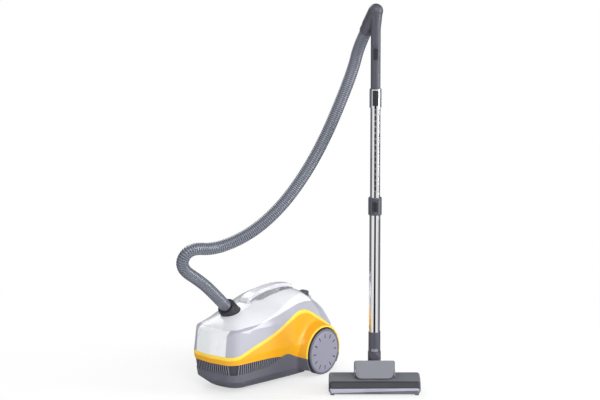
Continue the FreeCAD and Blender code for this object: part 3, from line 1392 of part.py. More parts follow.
def make_nozzle_body():
    """Hollow head with the elbow's slot, the lugs and the bearings."""
    body = nozzle_prism(0).cut(nozzle_prism(size("nozzle_wall")))
    base = size("nozzle_base")
    rear, half, front = size("nozzle_rear"), size("slot_half"), size("slot_front")
    wall_box = slab((-half - 2.5, front - 2.5, base), (half + 2.5, rear, 70)).common(nozzle_prism(0))
    slot = slab((-half, front, base - 5), (half, rear + 10, 90))
    body = body.fuse(wall_box).cut(slot)
    pivot_y, pivot_z = size("pivot_y"), size("pivot_z")
    inside = size("pivot_half + lug_gap")
    pin, lug = size("pivot_pin"), size("lug_radius")
    extras = []
    for side in (-1, 1):
        for radius, start, end in ((lug, inside, half + 1), (pin, inside - 8, half)):
            low, high = sorted((side * start, side * end))
            extras.append(x_drum(radius, low, high, pivot_y, pivot_z))
        low, high = sorted((side * size("roller_half + 6"), side * size("nozzle_half - 1.2")))
        extras.append(x_drum(8, low, high, size("roller_y"), size("roller_z")))
    body = body.multiFuse(extras)
    reach = size("nozzle_half - nozzle_wall")
    body = body.cut(x_drum(size("shaft_radius + running"), -reach, reach, size("roller_y"), size("roller_z")))
    centre = size("turbine_x")
    plates = []
    for offset in (-size("turbine_width") / 2 - 5, size("turbine_width") / 2 + 2):
        plates.append(slab((centre + offset, -8, size("nozzle_base")),
                           (centre + offset + 3, 28, size("nozzle_top"))).common(nozzle_prism(0)))
    body = body.multiFuse(plates)
    body = body.cut(x_drum(size("turbine_shaft + running"), size("turbine_x") - 14,
                           size("turbine_x") + 14, size("turbine_y"), size("turbine_z")))
    holes = []
    for side in (-1, 1):
        centre = side * size("rear_roller_x")
        width = size("rear_roller_width") / 2
        for offset in (-width - 4, width + 1):
            cheek = slab((centre + offset, 16, base), (centre + offset + 3, 36, 22))
            body = body.fuse(cheek)
        holes.append(x_drum(size("rear_pin + running"), centre - width - 3, centre + width + 3,
                            size("rear_roller_y"), size("rear_roller_radius")))
    return body.cut(Part.makeCompound(holes)).removeSplitter()


def make_sole_plate():
    """Flat sole with the brush's mouth, the slot and the side feet."""
    top = size("nozzle_base") - 0.05
    low = size("sole_z")
    half = size("nozzle_half") - 5
    plate = slab((-half, size("nozzle_front") + 6, low), (half, size("nozzle_rear") - 1, top))
    mouth = slab((-size("roller_half") - 3, size("roller_y") - 21, low - 1),
                 (size("roller_half") + 3, size("roller_y") + 21, top + 1))
    slot = slab((-size("slot_half") - 3, size("slot_front") - 3, low - 1),
                (size("slot_half") + 3, size("nozzle_rear") + 1, top + 1))
    tools = [mouth, slot]
    for side in (-1, 1):
        centre = side * size("rear_roller_x")
        tools.append(slab((centre - 13, 13, low - 1), (centre + 13, 35, top + 1)))
    plate = plate.cut(Part.makeCompound(tools))
    feet = []
    for side in (-1, 1):
        start, end = sorted((side * (half - 13), side * (half - 1)))
        feet.append(slab((start, size("nozzle_front") + 8, 0), (end, size("nozzle_front") + 26, low + 1)))
        feet.append(slab((start, size("nozzle_rear") - 22, 0), (end, size("nozzle_rear") - 4, low + 1)))
    return plate.multiFuse(feet).removeSplitter()


def make_neck_cover():
    """Sloping plate in front of the elbow, with an ear on each side."""
    top_y, top_z = size("neck_top_y"), size("neck_top")
    foot_y, foot_z = size("plate_foot_y"), size("neck_foot")
    thick = size("plate_thickness")
    along = Vector(0, top_y - foot_y, top_z - foot_z)
    length = along.Length
    along.normalize()
    normal = X_AXIS.cross(along)
    half, narrow = size("plate_half"), size("plate_foot_half")
    outline = rounded_wire([(-narrow, 0, size("plate_corner")), (narrow, 0, size("plate_corner")),
                            (half, length, 6), (-half, length, 6)], 0)
    plate = Part.Face(outline).extrude(Vector(0, 0, thick))
    plate.Placement = Placement(Vector(0, foot_y, foot_z), Rotation(X_AXIS, along, normal, "XYZ"))
    parts = []
    ear, ear_thick = size("ear_half"), size("ear_thickness")
    surface = size("nozzle_top") + 0.05
    foot = Vector(0, foot_y, foot_z) + normal
    low_point, high_point = foot + along * (surface - foot.z + 4), foot + along * (length - 5)
    for side in (-1, 1):
        outline = [low_point, high_point, Vector(0, top_y + 12, top_z - 8),
                   Vector(0, size("ear_rear"), surface + 8), Vector(0, size("ear_rear") + 4, surface),
                   Vector(0, foot_y + 14, surface), low_point]
        face = Part.Face(Part.makePolygon(outline))
        start = ear - ear_thick if side > 0 else -ear
        face.translate(Vector(start, 0, 0))
        parts.append(face.extrude(Vector(ear_thick, 0, 0)))
    return plate.multiFuse(parts).removeSplitter()


subpart(solid_feature(make_nozzle_body()), "nozzle_body", wand)
subpart(solid_feature(make_sole_plate()), "sole_plate", wand)
subpart(solid_feature(make_neck_cover()), "neck_cover", wand)


def make_brush_roller():
    """Brush roller with two opposed rows of bristles on each half."""
    core = cylinder("roller_core", "2 * roller_half", ("-roller_half", "0", "0"), "x")
    shaft = cylinder("shaft_radius", "2 * (nozzle_half - nozzle_wall) - 1",
                     ("-(nozzle_half - nozzle_wall) + 0.5", "0", "0"), "x")
    parts = [core, shaft]
    for number in range(4):
        row = block("2 * roller_half - 8", "3", "roller_radius", ("-roller_half + 4", "-1.5", "0"))
        parts.append(swung(row, X_AXIS, 90 * number))
    return join(*parts)


def make_turbine():
    """Small air turbine that drives the brush."""
    parts = [cylinder("6", "turbine_width", ("-turbine_width / 2", "0", "0"), "x"),
             cylinder("turbine_radius", "1.6", ("-0.8", "0", "0"), "x"),
             cylinder("turbine_shaft", "turbine_width + 10", ("-turbine_width / 2 - 5", "0", "0"), "x")]
    for number in range(8):
        blade = block("turbine_width", "1.4", "turbine_radius - 0.3", ("-turbine_width / 2", "-0.7", "0"))
        parts.append(swung(blade, X_AXIS, 45 * number))
    return join(*parts)


subpart(make_brush_roller(), "brush_roller", stand(wand, "0", "roller_y", "roller_z"))
subpart(make_turbine(), "turbine_wheel", stand(wand, "turbine_x", "turbine_y", "turbine_z"))
for label, across in (("left", "-rear_roller_x"), ("right", "rear_roller_x")):
    wheel = cylinder("rear_roller_radius", "rear_roller_width",
                     ("-rear_roller_width / 2", "0", "0"), "x")
    pin = cylinder("rear_pin", "rear_roller_width + 5",
                   ("-rear_roller_width / 2 - 2.5", "0", "0"), "x")
    subpart(join(wheel, pin), "rear_roller_" + label,
            stand(wand, across, "rear_roller_y", "rear_roller_radius"))

doc.recompute()
os.makedirs("parts", exist_ok=True)
faults = [item.Name + " " + item.Label for item in doc.Objects
          if "Invalid" in item.State or "Error" in item.State]
if faults:
    raise RuntimeError("failed: " + ", ".join(faults))
for piece in SUBPARTS:
    shape = piece.Shape
    if shape.isNull() or not shape.isValid():
        raise RuntimeError("bad shape: " + piece.Label)
    print(piece.Label, len(shape.Solids), round(shape.Volume))
    shape.exportStep("parts/" + piece.Label + ".step")
rigid = [piece.Shape for piece in SUBPARTS if piece.Label != "suction_hose"]
box = Part.makeCompound(rigid).optimalBoundingBox(False)
print(len(SUBPARTS), "pieces, box without the hose", box)
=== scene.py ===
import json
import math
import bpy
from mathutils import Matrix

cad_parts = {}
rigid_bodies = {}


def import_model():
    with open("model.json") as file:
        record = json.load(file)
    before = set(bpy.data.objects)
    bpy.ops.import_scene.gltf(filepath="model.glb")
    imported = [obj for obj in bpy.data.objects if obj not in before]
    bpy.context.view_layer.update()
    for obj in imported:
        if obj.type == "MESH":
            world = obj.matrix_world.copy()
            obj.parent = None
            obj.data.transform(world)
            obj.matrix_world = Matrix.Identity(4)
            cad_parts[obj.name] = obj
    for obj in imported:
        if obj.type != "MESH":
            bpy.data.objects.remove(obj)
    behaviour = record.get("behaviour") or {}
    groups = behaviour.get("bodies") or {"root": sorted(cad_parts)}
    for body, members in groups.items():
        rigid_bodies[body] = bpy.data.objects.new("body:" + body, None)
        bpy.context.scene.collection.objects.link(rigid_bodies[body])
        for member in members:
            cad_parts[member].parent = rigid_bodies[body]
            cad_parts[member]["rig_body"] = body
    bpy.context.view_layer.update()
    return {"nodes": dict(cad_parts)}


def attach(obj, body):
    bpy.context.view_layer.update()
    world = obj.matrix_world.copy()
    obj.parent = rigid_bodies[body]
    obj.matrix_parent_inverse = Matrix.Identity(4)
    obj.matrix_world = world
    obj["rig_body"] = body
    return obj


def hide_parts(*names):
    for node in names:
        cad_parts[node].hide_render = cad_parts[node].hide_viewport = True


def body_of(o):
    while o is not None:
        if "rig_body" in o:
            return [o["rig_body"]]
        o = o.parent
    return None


bl_info = {
    "name": "Canister Vacuum Cleaner",
    "version": (1, 0, 0),
    "blender": (4, 5, 0),
    "location": "View3D > Sidebar > Vacuum",
    "description": "Dresses a canister vacuum cleaner: hose, casing, wheels, wand, floor nozzle and studio",
    "category": "Add Mesh",
}

import bpy
from mathutils import Matrix, Vector

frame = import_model()
MM = 0.001

# Places are in metres along the world's axes.
# Camera of the shown view: place, line of sight, sensor, lens and sideways shift.
CAMERA_PLACE, CAMERA_SIGHT = (-3.3773, -2.8266, 1.4185), (0.7695, 0.6121, -0.1822)
SENSOR_MM, LENS_MM, LENS_SHIFT = 36, 86.22, -40 / 600
NEAR_LIMIT, FAR_LIMIT = 0.1, 60

# Route of the hose: collar, bend over the nose, long rise to the hand grip.
HOSE_ROUTE = (
    (-0.16445, 0.189, 0.26417), (-0.20739, 0.189, 0.30608), (-0.271, 0.187, 0.362),
    (-0.366, 0.191, 0.426), (-0.346, 0.168, 0.486), (-0.258, 0.137, 0.470),
    (-0.161, 0.077, 0.513), (-0.076, 0.029, 0.590), (-0.006, -0.011, 0.690),
    (0.049, -0.042, 0.795), (0.099, -0.069, 0.915), (0.133, -0.089, 1.012),
    (0.13733, -0.1048, 1.0761), (0.1269, -0.1398, 1.1237),
)
# Half-round ribs: five rings for each rib, from groove to crest and back.
RIB_PROFILE = (0.0, 0.75, 1.0, 0.75, 0.0)
HOSE_SIDES, HOSE_SMOOTHING = 26, 40.0

# Upper edge of the coloured casing, as stations along X with their heights.
WAIST_LINE = (
    (-0.258, 0.124), (-0.211, 0.125), (-0.140, 0.148), (-0.058, 0.172), (0.006, 0.204),
    (0.066, 0.221), (0.114, 0.214), (0.164, 0.180), (0.210, 0.136), (0.266, 0.104),
)
BEND_SHARE, BEND_STEPS = 0.45, 4  # its corners are rounded over this share of a side, in steps
WAIST_REACH = 0.3  # the edge's curve covers this far fore and aft, and this high
WAIST_HIGHLIGHT_DEPTHS = (0.0125, 0.0085)  # the painted highlight fades out between these depths below the edge
ARCH_HIGHLIGHT_RADII = (0.0862, 0.0852)  # and round the wheel between these radii
PANEL_SEAM = 0.2062  # height at which the nose panel's two colours meet; below it, its white is partly painted light

# Where the pieces lie that are finished face by face.
CANISTER_MIDDLE = 0.189
WHEEL_AXIS = (0.134, 0.076)
WAND_AXIS = (0.112, -0.1895)
HUB_REACH = 0.160  # from the canister's middle to the hub caps' faces
SLOT_DEPTHS, SLOT_RADII, TYRE_WALL_DEPTH = (0.0003, 0.0018), (0.044, 0.061), 0.0022
FIN_START, FIN_PITCH, FIN_THICKNESS, FIN_FRONT_HALF, FIN_EDGE = -0.208, 0.008, 0.003, 0.0695, 0.0003
SOCKET_HEIGHTS, SOCKET_BORE = (0.8955, 0.9535), 0.0152
NOTCH_RADII = (0.0132, 0.0148)
NOZZLE_FRONT = Vector((-0.7826, -0.6225, 0.0))
WINDOW_LOW, LIP_HEIGHTS, LIP_REACH = 0.020, (0.009, 0.0235), 0.0725
COVER_NORMAL = Vector((-0.683, -0.543, 0.489))
# Cosines: how squarely a face looks the same way as the normal that it is compared with.
WINDOW_FACING, LIP_FACING, SIDEWAYS = 0.55, 0.88, 0.5

# Grains and streaks are about a tenth of a millimetre wide on the real surfaces. They are drawn
# coarser, at the widths below, so that they show.
# Moulded finishes: colour, roughness, grain in mm and its depth, gloss coat, drift of the colour.
PLASTICS = {
    # polished mould: crisp reflections over an even white
    "Glossy white ABS": ("hood", 0.22, 3.0, 0.02, 0.4, 0.01),
    # polished mould, a strong colour with a broad soft highlight
    "Glossy yellow ABS": ("casing", 0.34, 3.0, 0.02, 0.05, 0.02),
    # polished mould, nearly white and a little greyer above the seam; below the seam it is lighter, partly
    # as painted light on the nose's front
    "Nose gloss ABS with painted light": ("nose", 0.28, 2.0, 0.03, 0.3, 0.02),
    # metallic flakes in the plastic soften the reflections to a silky grey
    "Glossy silver ABS": ("belt", 0.3, 2.0, 0.04, 0.25, 0.02),
    # painted reflection: a pale lacquered edge, coloured lighter for the pale floor that it mirrors
    "Painted-reflection lilac-grey ABS": ("#b4b4c4", 0.16, 2.0, 0.02, 0.6, 0.04),
    # polished button, brighter than the connector round it
    "Pale button ABS": ("#85868f", 0.3, 2.0, 0.04, 0.2, 0.04),
    # smooth thick wall of a dust bin, glossy and milky grey
    "Tinted bin polycarbonate": ("#9a9da3", 0.2, 2.0, 0.02, 0.3, 0.04),
    # dark smoked window with the dull sheen of fine scratches; its dark colour is partly a painted dark
    # reflection of the glossy front
    "Smoked polycarbonate with painted dark reflection": ("#23242c", 0.5, 2.0, 0.02, 0.0, 0.04),
    # spark-eroded mould: a satin grain that softens every highlight
    "Satin slate polypropylene": ("base", 0.48, 1.6, 0.18, 0.0, 0.04),
    # painted light: the same mould on the fins, coloured lighter where their edges catch more light
    "Painted-light slate polypropylene": ("#868692", 0.44, 1.6, 0.14, 0.0, 0.04),
    # painted shade: the same mould on the skin between the fins, coloured darker and nearly without
    # highlights
    "Painted-shade slate polypropylene": ("#3d3d46", 0.6, 1.6, 0.18, 0.0, 0.04),
    # fine satin on broad flat caps: an even lilac grey
    "Satin lilac-grey ABS": ("hub", 0.4, 1.6, 0.1, 0.0, 0.04),
    # grip and collars: a dark satin with one soft highlight along each round
    "Satin graphite ABS": ("grip", 0.42, 1.6, 0.14, 0.0, 0.04),
    # small dark mouldings that stand out from the grip and the hood, and painted shade on the rim of the
    # nozzle's neck cover
    "Satin black ABS": ("#26272b", 0.4, 1.6, 0.12, 0.0, 0.04),
    # eroded top of the nozzle, a flat mid grey
    "Satin charcoal ABS": ("#67696f", 0.46, 1.6, 0.1, 0.0, 0.04),
    # cover and sole of the nozzle, a lighter satin
    "Satin ash-grey ABS": ("#74767f", 0.4, 1.6, 0.12, 0.0, 0.04),
    # painted shade: walls of narrow slots and notches, dull and coloured dark for the shade inside them
    "Painted-shade slot ABS": ("#303036", 0.6, 1.6, 0.1, 0.0, 0.04),
    # blown soft vinyl: a wet sheen on the crests
    "Ribbed hose vinyl": ("hose", 0.24, 2.4, 0.03, 0.5, 0.04),
    # moulded rubber: matt, nearly black, with a coarse bloom
    "Soft black rubber": ("#1d1d1f", 0.72, 1.2, 0.3, 0.0, 0.04),
    # tread rubber, worn to a dull dark grey
    "Grey tread rubber": ("#3f3f46", 0.62, 1.2, 0.3, 0.0, 0.04),
    # side wall of the tyre, a paler grey than the tread
    "Pale wall rubber": ("#6d6d79", 0.5, 1.2, 0.2, 0.0, 0.04),
    # felted fibres: fully matt and fluffy
    "Filter fleece": ("#dcdcd6", 0.9, 0.8, 0.8, 0.0, 0.08),
    # tufts of drawn nylon, dark and broken up
    "Brush bristle nylon": ("#2b2b2e", 0.6, 0.8, 0.8, 0.0, 0.04),
    # lacquered glass-fibre board, an even green
    "Green board laminate": ("#1f5a33", 0.45, 1.0, 0.1, 0.0, 0.04),
}
# Metals: colour, roughness, width of the streaks in mm and their depth.
METALS = {
    # chrome over drawn steel: a mirror with faint lengthwise streaks
    "Chromed steel tube": ("#e6e6e8", 0.09, 1.0, 0.02),
    # plated plastic: a slightly softer mirror without drawing marks
    "Chrome-plated ABS": ("#dcdce0", 0.12, 2.0, 0.01),
    # brushed sheet and turned pins: a broad grey gleam
    "Brushed steel": ("#a9a9ab", 0.34, 0.8, 0.12),
    # stacked sheets: a dull brown-grey edge
    "Laminated iron": ("#5a5653", 0.5, 0.8, 0.2),
}
# Painted shade: colour of the hose's grooves between the ribs, where shade falls.
GROOVE_SHADE_COLOUR = "#4a4d57"
# Moulded parts drift in colour over about 110 mm; heights of grain and streaks are in metres.
CLOUD_SCALE, GRAIN_HEIGHT, STREAK_HEIGHT = 9.0, 0.0003, 0.0001
# Share of its roughness at which a surface is glossiest and dullest.
PLASTIC_GLOSS, METAL_GLOSS = (0.88, 1.12), (0.7, 1.3)
STREAK_STRETCH = (1.0, 1.0, 0.04)  # streaks run 25 times longer than wide, along Z
PLASTIC_IOR, COAT_ROUGHNESS = 1.53, 0.08

# Painted reflection: tones of a made-up room that only reflections see, from straight behind the object to
# straight in front of it.
PAINTED_REFLECTION_STOPS = ((0.0, "#6f7074"), (0.18, "#85868a"), (0.32, "#f4f4f6"), (0.92, "#ffffff"),
              (0.955, "#2c2d31"), (1.0, "#26272b"))
# Floor's distance from the middle at which the shadow fades, and its share of glow there.
FADE_REACH, FADE_SHARE = (0.55, 1.7), (0.62, 1.0)
# Softboxes: name, place, width and height in metres, power in watts.
SOFTBOXES = (
    ("Key softbox", (-2.2, -2.6, 3.2), 2.4, 2.4, 84),
    ("Fill softbox", (2.6, -2.2, 2.4), 2.6, 2.6, 18),
    ("Strip softbox", (1.54, -2.83, 1.1), 0.7, 2.6, 60),
    ("Rim softbox", (1.0, 3.0, 3.0), 2.4, 2.4, 60),
)
LIGHTS_AIM, FLOOR_SIZE = Vector((0, 0, 0.4)), 60

# Sockets of the colour mixing node.
MIX_SHARE, MIX_LOW, MIX_HIGH, MIX_RESULT = 0, 6, 7, 2


# Colours and nodes

def linear(colour):
    """A linear colour from an sRGB hex value or from the name of a colour property."""
    if not colour.startswith("#"):
        channels = getattr(bpy.context.scene.vacuum_colours, colour)
        colour = "#" + "".join(f"{round(channel * 255):02x}" for channel in channels)
    channels = [int(colour[place:place + 2], 16) / 255 for place in (1, 3, 5)]
    return [c / 12.92 if c <= 0.04045 else ((c + 0.055) / 1.055) ** 2.4 for c in channels] + [1.0]


def add_node(tree, kind, inputs=None, **settings):
    """Add one node with its settings; an input takes a value or another node's output."""
    made = tree.nodes.new(kind)
    for name, choice in settings.items():
        setattr(made, name, choice)
    for key, value in (inputs or {}).items():
        if isinstance(value, bpy.types.NodeSocket):
            tree.links.new(value, made.inputs[key])
        else:
            made.inputs[key].default_value = value
    return made


def blank_material(name):
    """A new material with an empty tree and its output."""
    material = bpy.data.materials.new(name)
    material.use_nodes = True
    tree = material.node_tree
    tree.nodes.clear()
    return material, tree, tree.nodes.new("ShaderNodeOutputMaterial")


# Finishes

def moulded_plastic(name, colour, roughness, grain_mm, grain_depth, coat, drift):
    """Injection-moulded plastic: a slow drift in the colour and a fine grain in the gloss."""
    material, tree, output = blank_material(name)
    place = add_node(tree, "ShaderNodeTexCoord").outputs["Object"]
    cloud = add_node(tree, "ShaderNodeTexNoise",
                     {"Vector": place, "Scale": CLOUD_SCALE, "Detail": 2.0}).outputs["Fac"]
    grain = add_node(tree, "ShaderNodeTexNoise",
                     {"Vector": place, "Scale": 1000 / grain_mm, "Detail": 3.0}).outputs["Fac"]
    base = linear(colour)[:3]
    darker = [channel * (1 - drift) for channel in base] + [1.0]
    lighter = [min(1.0, channel * (1 + drift)) for channel in base] + [1.0]
    tone = add_node(tree, "ShaderNodeMix", {MIX_SHARE: cloud, MIX_LOW: darker, MIX_HIGH: lighter},
                    data_type="RGBA")
    low, high = (roughness * share for share in PLASTIC_GLOSS)
    gloss = add_node(tree, "ShaderNodeMapRange", {"Value": cloud, "To Min": low, "To Max": high})
    bump = add_node(tree, "ShaderNodeBump",
                    {"Height": grain, "Strength": grain_depth, "Distance": GRAIN_HEIGHT})
    shader = add_node(tree, "ShaderNodeBsdfPrincipled", {
        "Base Color": tone.outputs[MIX_RESULT], "Roughness": gloss.outputs[0],
        "Normal": bump.outputs[0], "IOR": PLASTIC_IOR,
        "Coat Weight": coat, "Coat Roughness": COAT_ROUGHNESS,
    })
    tree.links.new(shader.outputs[0], output.inputs[0])
    return material


def drawn_metal(name, colour, roughness, streak_mm, streak_depth):
    """Metal with streaks along its length, as drawing and polishing leave them."""
    material, tree, output = blank_material(name)
    place = add_node(tree, "ShaderNodeTexCoord").outputs["Object"]
    stretch = add_node(tree, "ShaderNodeMapping", {"Vector": place, "Scale": STREAK_STRETCH})
    streak = add_node(tree, "ShaderNodeTexNoise",
                      {"Vector": stretch.outputs[0], "Scale": 1000 / streak_mm,
                       "Detail": 4.0}).outputs["Fac"]
    low, high = (roughness * share for share in METAL_GLOSS)
    gloss = add_node(tree, "ShaderNodeMapRange", {"Value": streak, "To Min": low, "To Max": high})
    bump = add_node(tree, "ShaderNodeBump",
                    {"Height": streak, "Strength": streak_depth, "Distance": STREAK_HEIGHT})
    shader = add_node(tree, "ShaderNodeBsdfPrincipled", {
        "Base Color": linear(colour), "Metallic": 1.0,
        "Roughness": gloss.outputs[0], "Normal": bump.outputs[0],
    })
    tree.links.new(shader.outputs[0], output.inputs[0])
    return material


def paint_over(tree, share, low=None, high=None):
    """Mix a second colour into a finish; the one that isn't given is the finish's own."""
    shader = next(node for node in tree.nodes if node.type == "BSDF_PRINCIPLED")
    own = shader.inputs["Base Color"].links[0].from_socket
    mixed = add_node(tree, "ShaderNodeMix",
                     {MIX_SHARE: share, MIX_LOW: linear(low) if low else own,
                      MIX_HIGH: linear(high) if high else own}, data_type="RGBA")
    tree.links.new(mixed.outputs[MIX_RESULT], shader.inputs["Base Color"])


def rounded_line(points):
    """The line through some points with its corners rounded as on the casing."""
    spots = [Vector(point) for point in points]
    line = [spots[0]]
    for before, here, after in zip(spots, spots[1:], spots[2:]):
        reach = min((before - here).length, (after - here).length) * BEND_SHARE
        back, onward = (before - here).normalized() * reach, (after - here).normalized() * reach
        for step in range(BEND_STEPS + 1):
            share = step / BEND_STEPS
            line.append(here + back * (1 - share) ** 2 + onward * share ** 2)
    return line + [spots[-1]]


def paint_edge_highlight(tree):
    """Painted highlight: a paler yellow where the bevels catch the light, on the casing's upper edge and
    round the wheel arches.
    """
    place = add_node(tree, "ShaderNodeTexCoord").outputs["Object"]
    spot = add_node(tree, "ShaderNodeSeparateXYZ", {0: place}).outputs
    station = add_node(tree, "ShaderNodeMapRange",
                       {"Value": spot["X"], "From Min": -WAIST_REACH, "From Max": WAIST_REACH})
    edge = add_node(tree, "ShaderNodeFloatCurve", {1: station.outputs[0]})
    curve = edge.mapping.curves[0]
    line = rounded_line(WAIST_LINE)
    curve.points[0].location = (0, line[0].y / WAIST_REACH)
    curve.points[1].location = (1, line[-1].y / WAIST_REACH)
    for along, up in line[1:-1]:
        curve.points.new((along + WAIST_REACH) / (2 * WAIST_REACH), up / WAIST_REACH)
    for point in curve.points:
        point.handle_type = "VECTOR"
    edge.mapping.update()
    height = add_node(tree, "ShaderNodeMath", {0: edge.outputs[0], 1: WAIST_REACH},
                      operation="MULTIPLY")
    below = add_node(tree, "ShaderNodeMath", {0: height.outputs[0], 1: spot["Z"]},
                     operation="SUBTRACT")
    rim = add_node(tree, "ShaderNodeMapRange", {
        "Value": below.outputs[0], "From Min": WAIST_HIGHLIGHT_DEPTHS[0], "From Max": WAIST_HIGHLIGHT_DEPTHS[1]})
    flat = add_node(tree, "ShaderNodeCombineXYZ", {0: spot["X"], 2: spot["Z"]})
    apart = add_node(tree, "ShaderNodeVectorMath",
                     {0: flat.outputs[0], 1: (WHEEL_AXIS[0], 0, WHEEL_AXIS[1])},
                     operation="DISTANCE")
    lip = add_node(tree, "ShaderNodeMapRange", {
        "Value": apart.outputs["Value"], "From Min": ARCH_HIGHLIGHT_RADII[0], "From Max": ARCH_HIGHLIGHT_RADII[1]})
    highlight_share = add_node(tree, "ShaderNodeMath", {0: rim.outputs[0], 1: lip.outputs[0]},
                    operation="MAXIMUM")
    paint_over(tree, highlight_share.outputs[0], high="casing_edge_highlight")


def paint_upper_part(tree):
    """The hood's colour on the nose panel above the seam."""
    place = add_node(tree, "ShaderNodeTexCoord").outputs["Object"]
    up = add_node(tree, "ShaderNodeSeparateXYZ", {0: place}).outputs["Z"]
    share = add_node(tree, "ShaderNodeMapRange", {
        "Value": up, "From Min": PANEL_SEAM - 0.4 * MM, "From Max": PANEL_SEAM + 0.4 * MM})
    paint_over(tree, share.outputs[0], high="hood")


def paint_groove_shade(tree):
    """Painted shade: the grooves between the crests are coloured darker than the crests, for the shade that
    falls in them.
    """
    crest = add_node(tree, "ShaderNodeAttribute", attribute_name="crest")
    paint_over(tree, crest.outputs["Fac"], low=GROOVE_SHADE_COLOUR)


PAINTERS = {
    "Glossy yellow ABS": paint_edge_highlight,
    "Nose gloss ABS with painted light": paint_upper_part,
    "Ribbed hose vinyl": paint_groove_shade,
}


def palette(finish):
    """The material of a finish, made when it is first asked for."""
    if finish in bpy.data.materials:
        return bpy.data.materials[finish]
    if finish in METALS:
        return drawn_metal(finish, *METALS[finish])
    material = moulded_plastic(finish, *PLASTICS[finish])
    if finish in PAINTERS:
        PAINTERS[finish](material.node_tree)
    return material


# Handling pieces

def deselect():
    """Leave edit mode and select nothing."""
    if bpy.context.mode != "OBJECT":
        bpy.ops.object.mode_set(mode="OBJECT")
    bpy.ops.object.select_all(action="DESELECT")


def only(piece):
    """Select one piece and nothing else."""
    deselect()
    piece.select_set(True)
    bpy.context.view_layer.objects.active = piece


def dress_node(node, finish, angle):
    """Show a smooth-shaded copy of a CAD piece in its own finish."""
    source = frame["nodes"][node]
    body = body_of(source)[0]
    piece = source.copy()
    piece.data = source.data.copy()
    piece.name = node + "_finished"
    piece.parent = None
    piece.matrix_world = Matrix.Identity(4)
    bpy.context.scene.collection.objects.link(piece)
    only(piece)
    bpy.ops.object.mode_set(mode="EDIT")
    bpy.ops.mesh.select_all(action="SELECT")
    bpy.ops.mesh.remove_doubles(threshold=0.01 * MM)
    bpy.ops.object.mode_set(mode="OBJECT")
    bpy.ops.object.shade_smooth_by_angle(angle=math.radians(angle))
    weighting = piece.modifiers.new("Even shading", "WEIGHTED_NORMAL")
    weighting.keep_sharp = True
    bpy.ops.object.modifier_apply(modifier=weighting.name)
    piece.data.materials.clear()
    piece.data.materials.append(palette(finish))
    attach(piece, body)
    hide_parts(node)
    return piece


def shade_faces(piece, finish, chosen):
    """Give the faces that a test picks a finish of their own."""
    piece.data.materials.append(palette(finish))
    for face in piece.data.polygons:
        if chosen(face):
            face.material_index = len(piece.data.materials) - 1


class DressGroup:
    """Finishes a group of CAD pieces, each in its own material."""
    angle = 32.0
    # Finish of each piece, and further finishes with the tests that pick their faces.
    finishes, accents = {}, {}

    def execute(self, context):
        for node, finish in self.finishes.items():
            piece = dress_node(node, finish, self.angle)
            for accent, chosen in self.accents.get(node, ()):
                shade_faces(piece, accent, chosen)
        return {"FINISHED"}


# Tests that pick the faces with a finish of their own

def wheel_distance(face):
    """Distance from the rear wheels' axis."""
    return math.hypot(face.center.x - WHEEL_AXIS[0], face.center.z - WHEEL_AXIS[1])


def wand_distance(face):
    """Distance from the wand's axis."""
    return math.hypot(face.center.x - WAND_AXIS[0], face.center.y - WAND_AXIS[1])


def hub_depth(face):
    """How far a face lies behind the hub caps' faces."""
    return HUB_REACH - abs(face.center.y - CANISTER_MIDDLE)


def painted_shade_between_fins(face):
    """The skin between the fins and round the nose's corners, which gets painted shade."""
    along, across = face.center.x - FIN_START, face.center.y - CANISTER_MIDDLE
    if along < -FIN_PITCH / 2:
        place = (across + FIN_FRONT_HALF) % FIN_PITCH
    else:
        place = along % FIN_PITCH
    in_corner = along < 0 and abs(across) > FIN_FRONT_HALF
    return in_corner or not FIN_EDGE < place < FIN_THICKNESS - FIN_EDGE


def painted_shade_in_slot(face):
    """The slots in the hub caps, coloured dark as painted shade."""
    return (SLOT_DEPTHS[0] < hub_depth(face) < SLOT_DEPTHS[1]
            and SLOT_RADII[0] < wheel_distance(face) < SLOT_RADII[1])


def on_outer_wall(face):
    """The outer wall of a tyre, which is coloured paler than the tread."""
    return hub_depth(face) < TYRE_WALL_DEPTH


def on_socket(face):
    """The plated sleeve over the socket at the grip's lower end."""
    return (SOCKET_HEIGHTS[0] < face.center.z < SOCKET_HEIGHTS[1]
            and wand_distance(face) > SOCKET_BORE)


def painted_shade_in_notch(face):
    """The floors of the notches in the detent strip, coloured dark as painted shade."""
    return NOTCH_RADII[0] < wand_distance(face) < NOTCH_RADII[1] and abs(face.normal.z) < SIDEWAYS


def on_window_painted_dark(face):
    """The tilted front of the nozzle, a smoked window over the lower edge, darkened partly as a painted
    dark reflection.
    """
    return face.normal.dot(NOZZLE_FRONT) > WINDOW_FACING and face.center.z > WINDOW_LOW


def painted_reflection_lip(face):
    """The polished lower front edge of the nozzle, coloured pale as a painted reflection."""
    reach = (face.center - Vector((*WAND_AXIS, 0))).dot(NOZZLE_FRONT)
    return (face.normal.dot(NOZZLE_FRONT) > LIP_FACING and reach > LIP_REACH
            and LIP_HEIGHTS[0] < face.center.z < LIP_HEIGHTS[1])


def painted_shade_on_rim(face):
    """The rim and the ears of the neck cover, coloured black as painted shade of the gap round the cover.
    """
    return abs(face.normal.dot(COVER_NORMAL)) < SIDEWAYS


# Sizes and colours

class VacuumSizes(bpy.types.PropertyGroup):
    """Sizes of the pieces that are made here."""
    hose_radius: bpy.props.FloatProperty(
        name="Hose radius", description="Outer radius of the hose over its ribs",
        default=19.0 * MM, unit="LENGTH")
    rib_depth: bpy.props.FloatProperty(
        name="Rib depth", description="How far the grooves lie below the ribs",
        default=0.9 * MM, unit="LENGTH")
    rib_count: bpy.props.IntProperty(
        name="Ribs", description="Ribs along the whole hose", default=200)


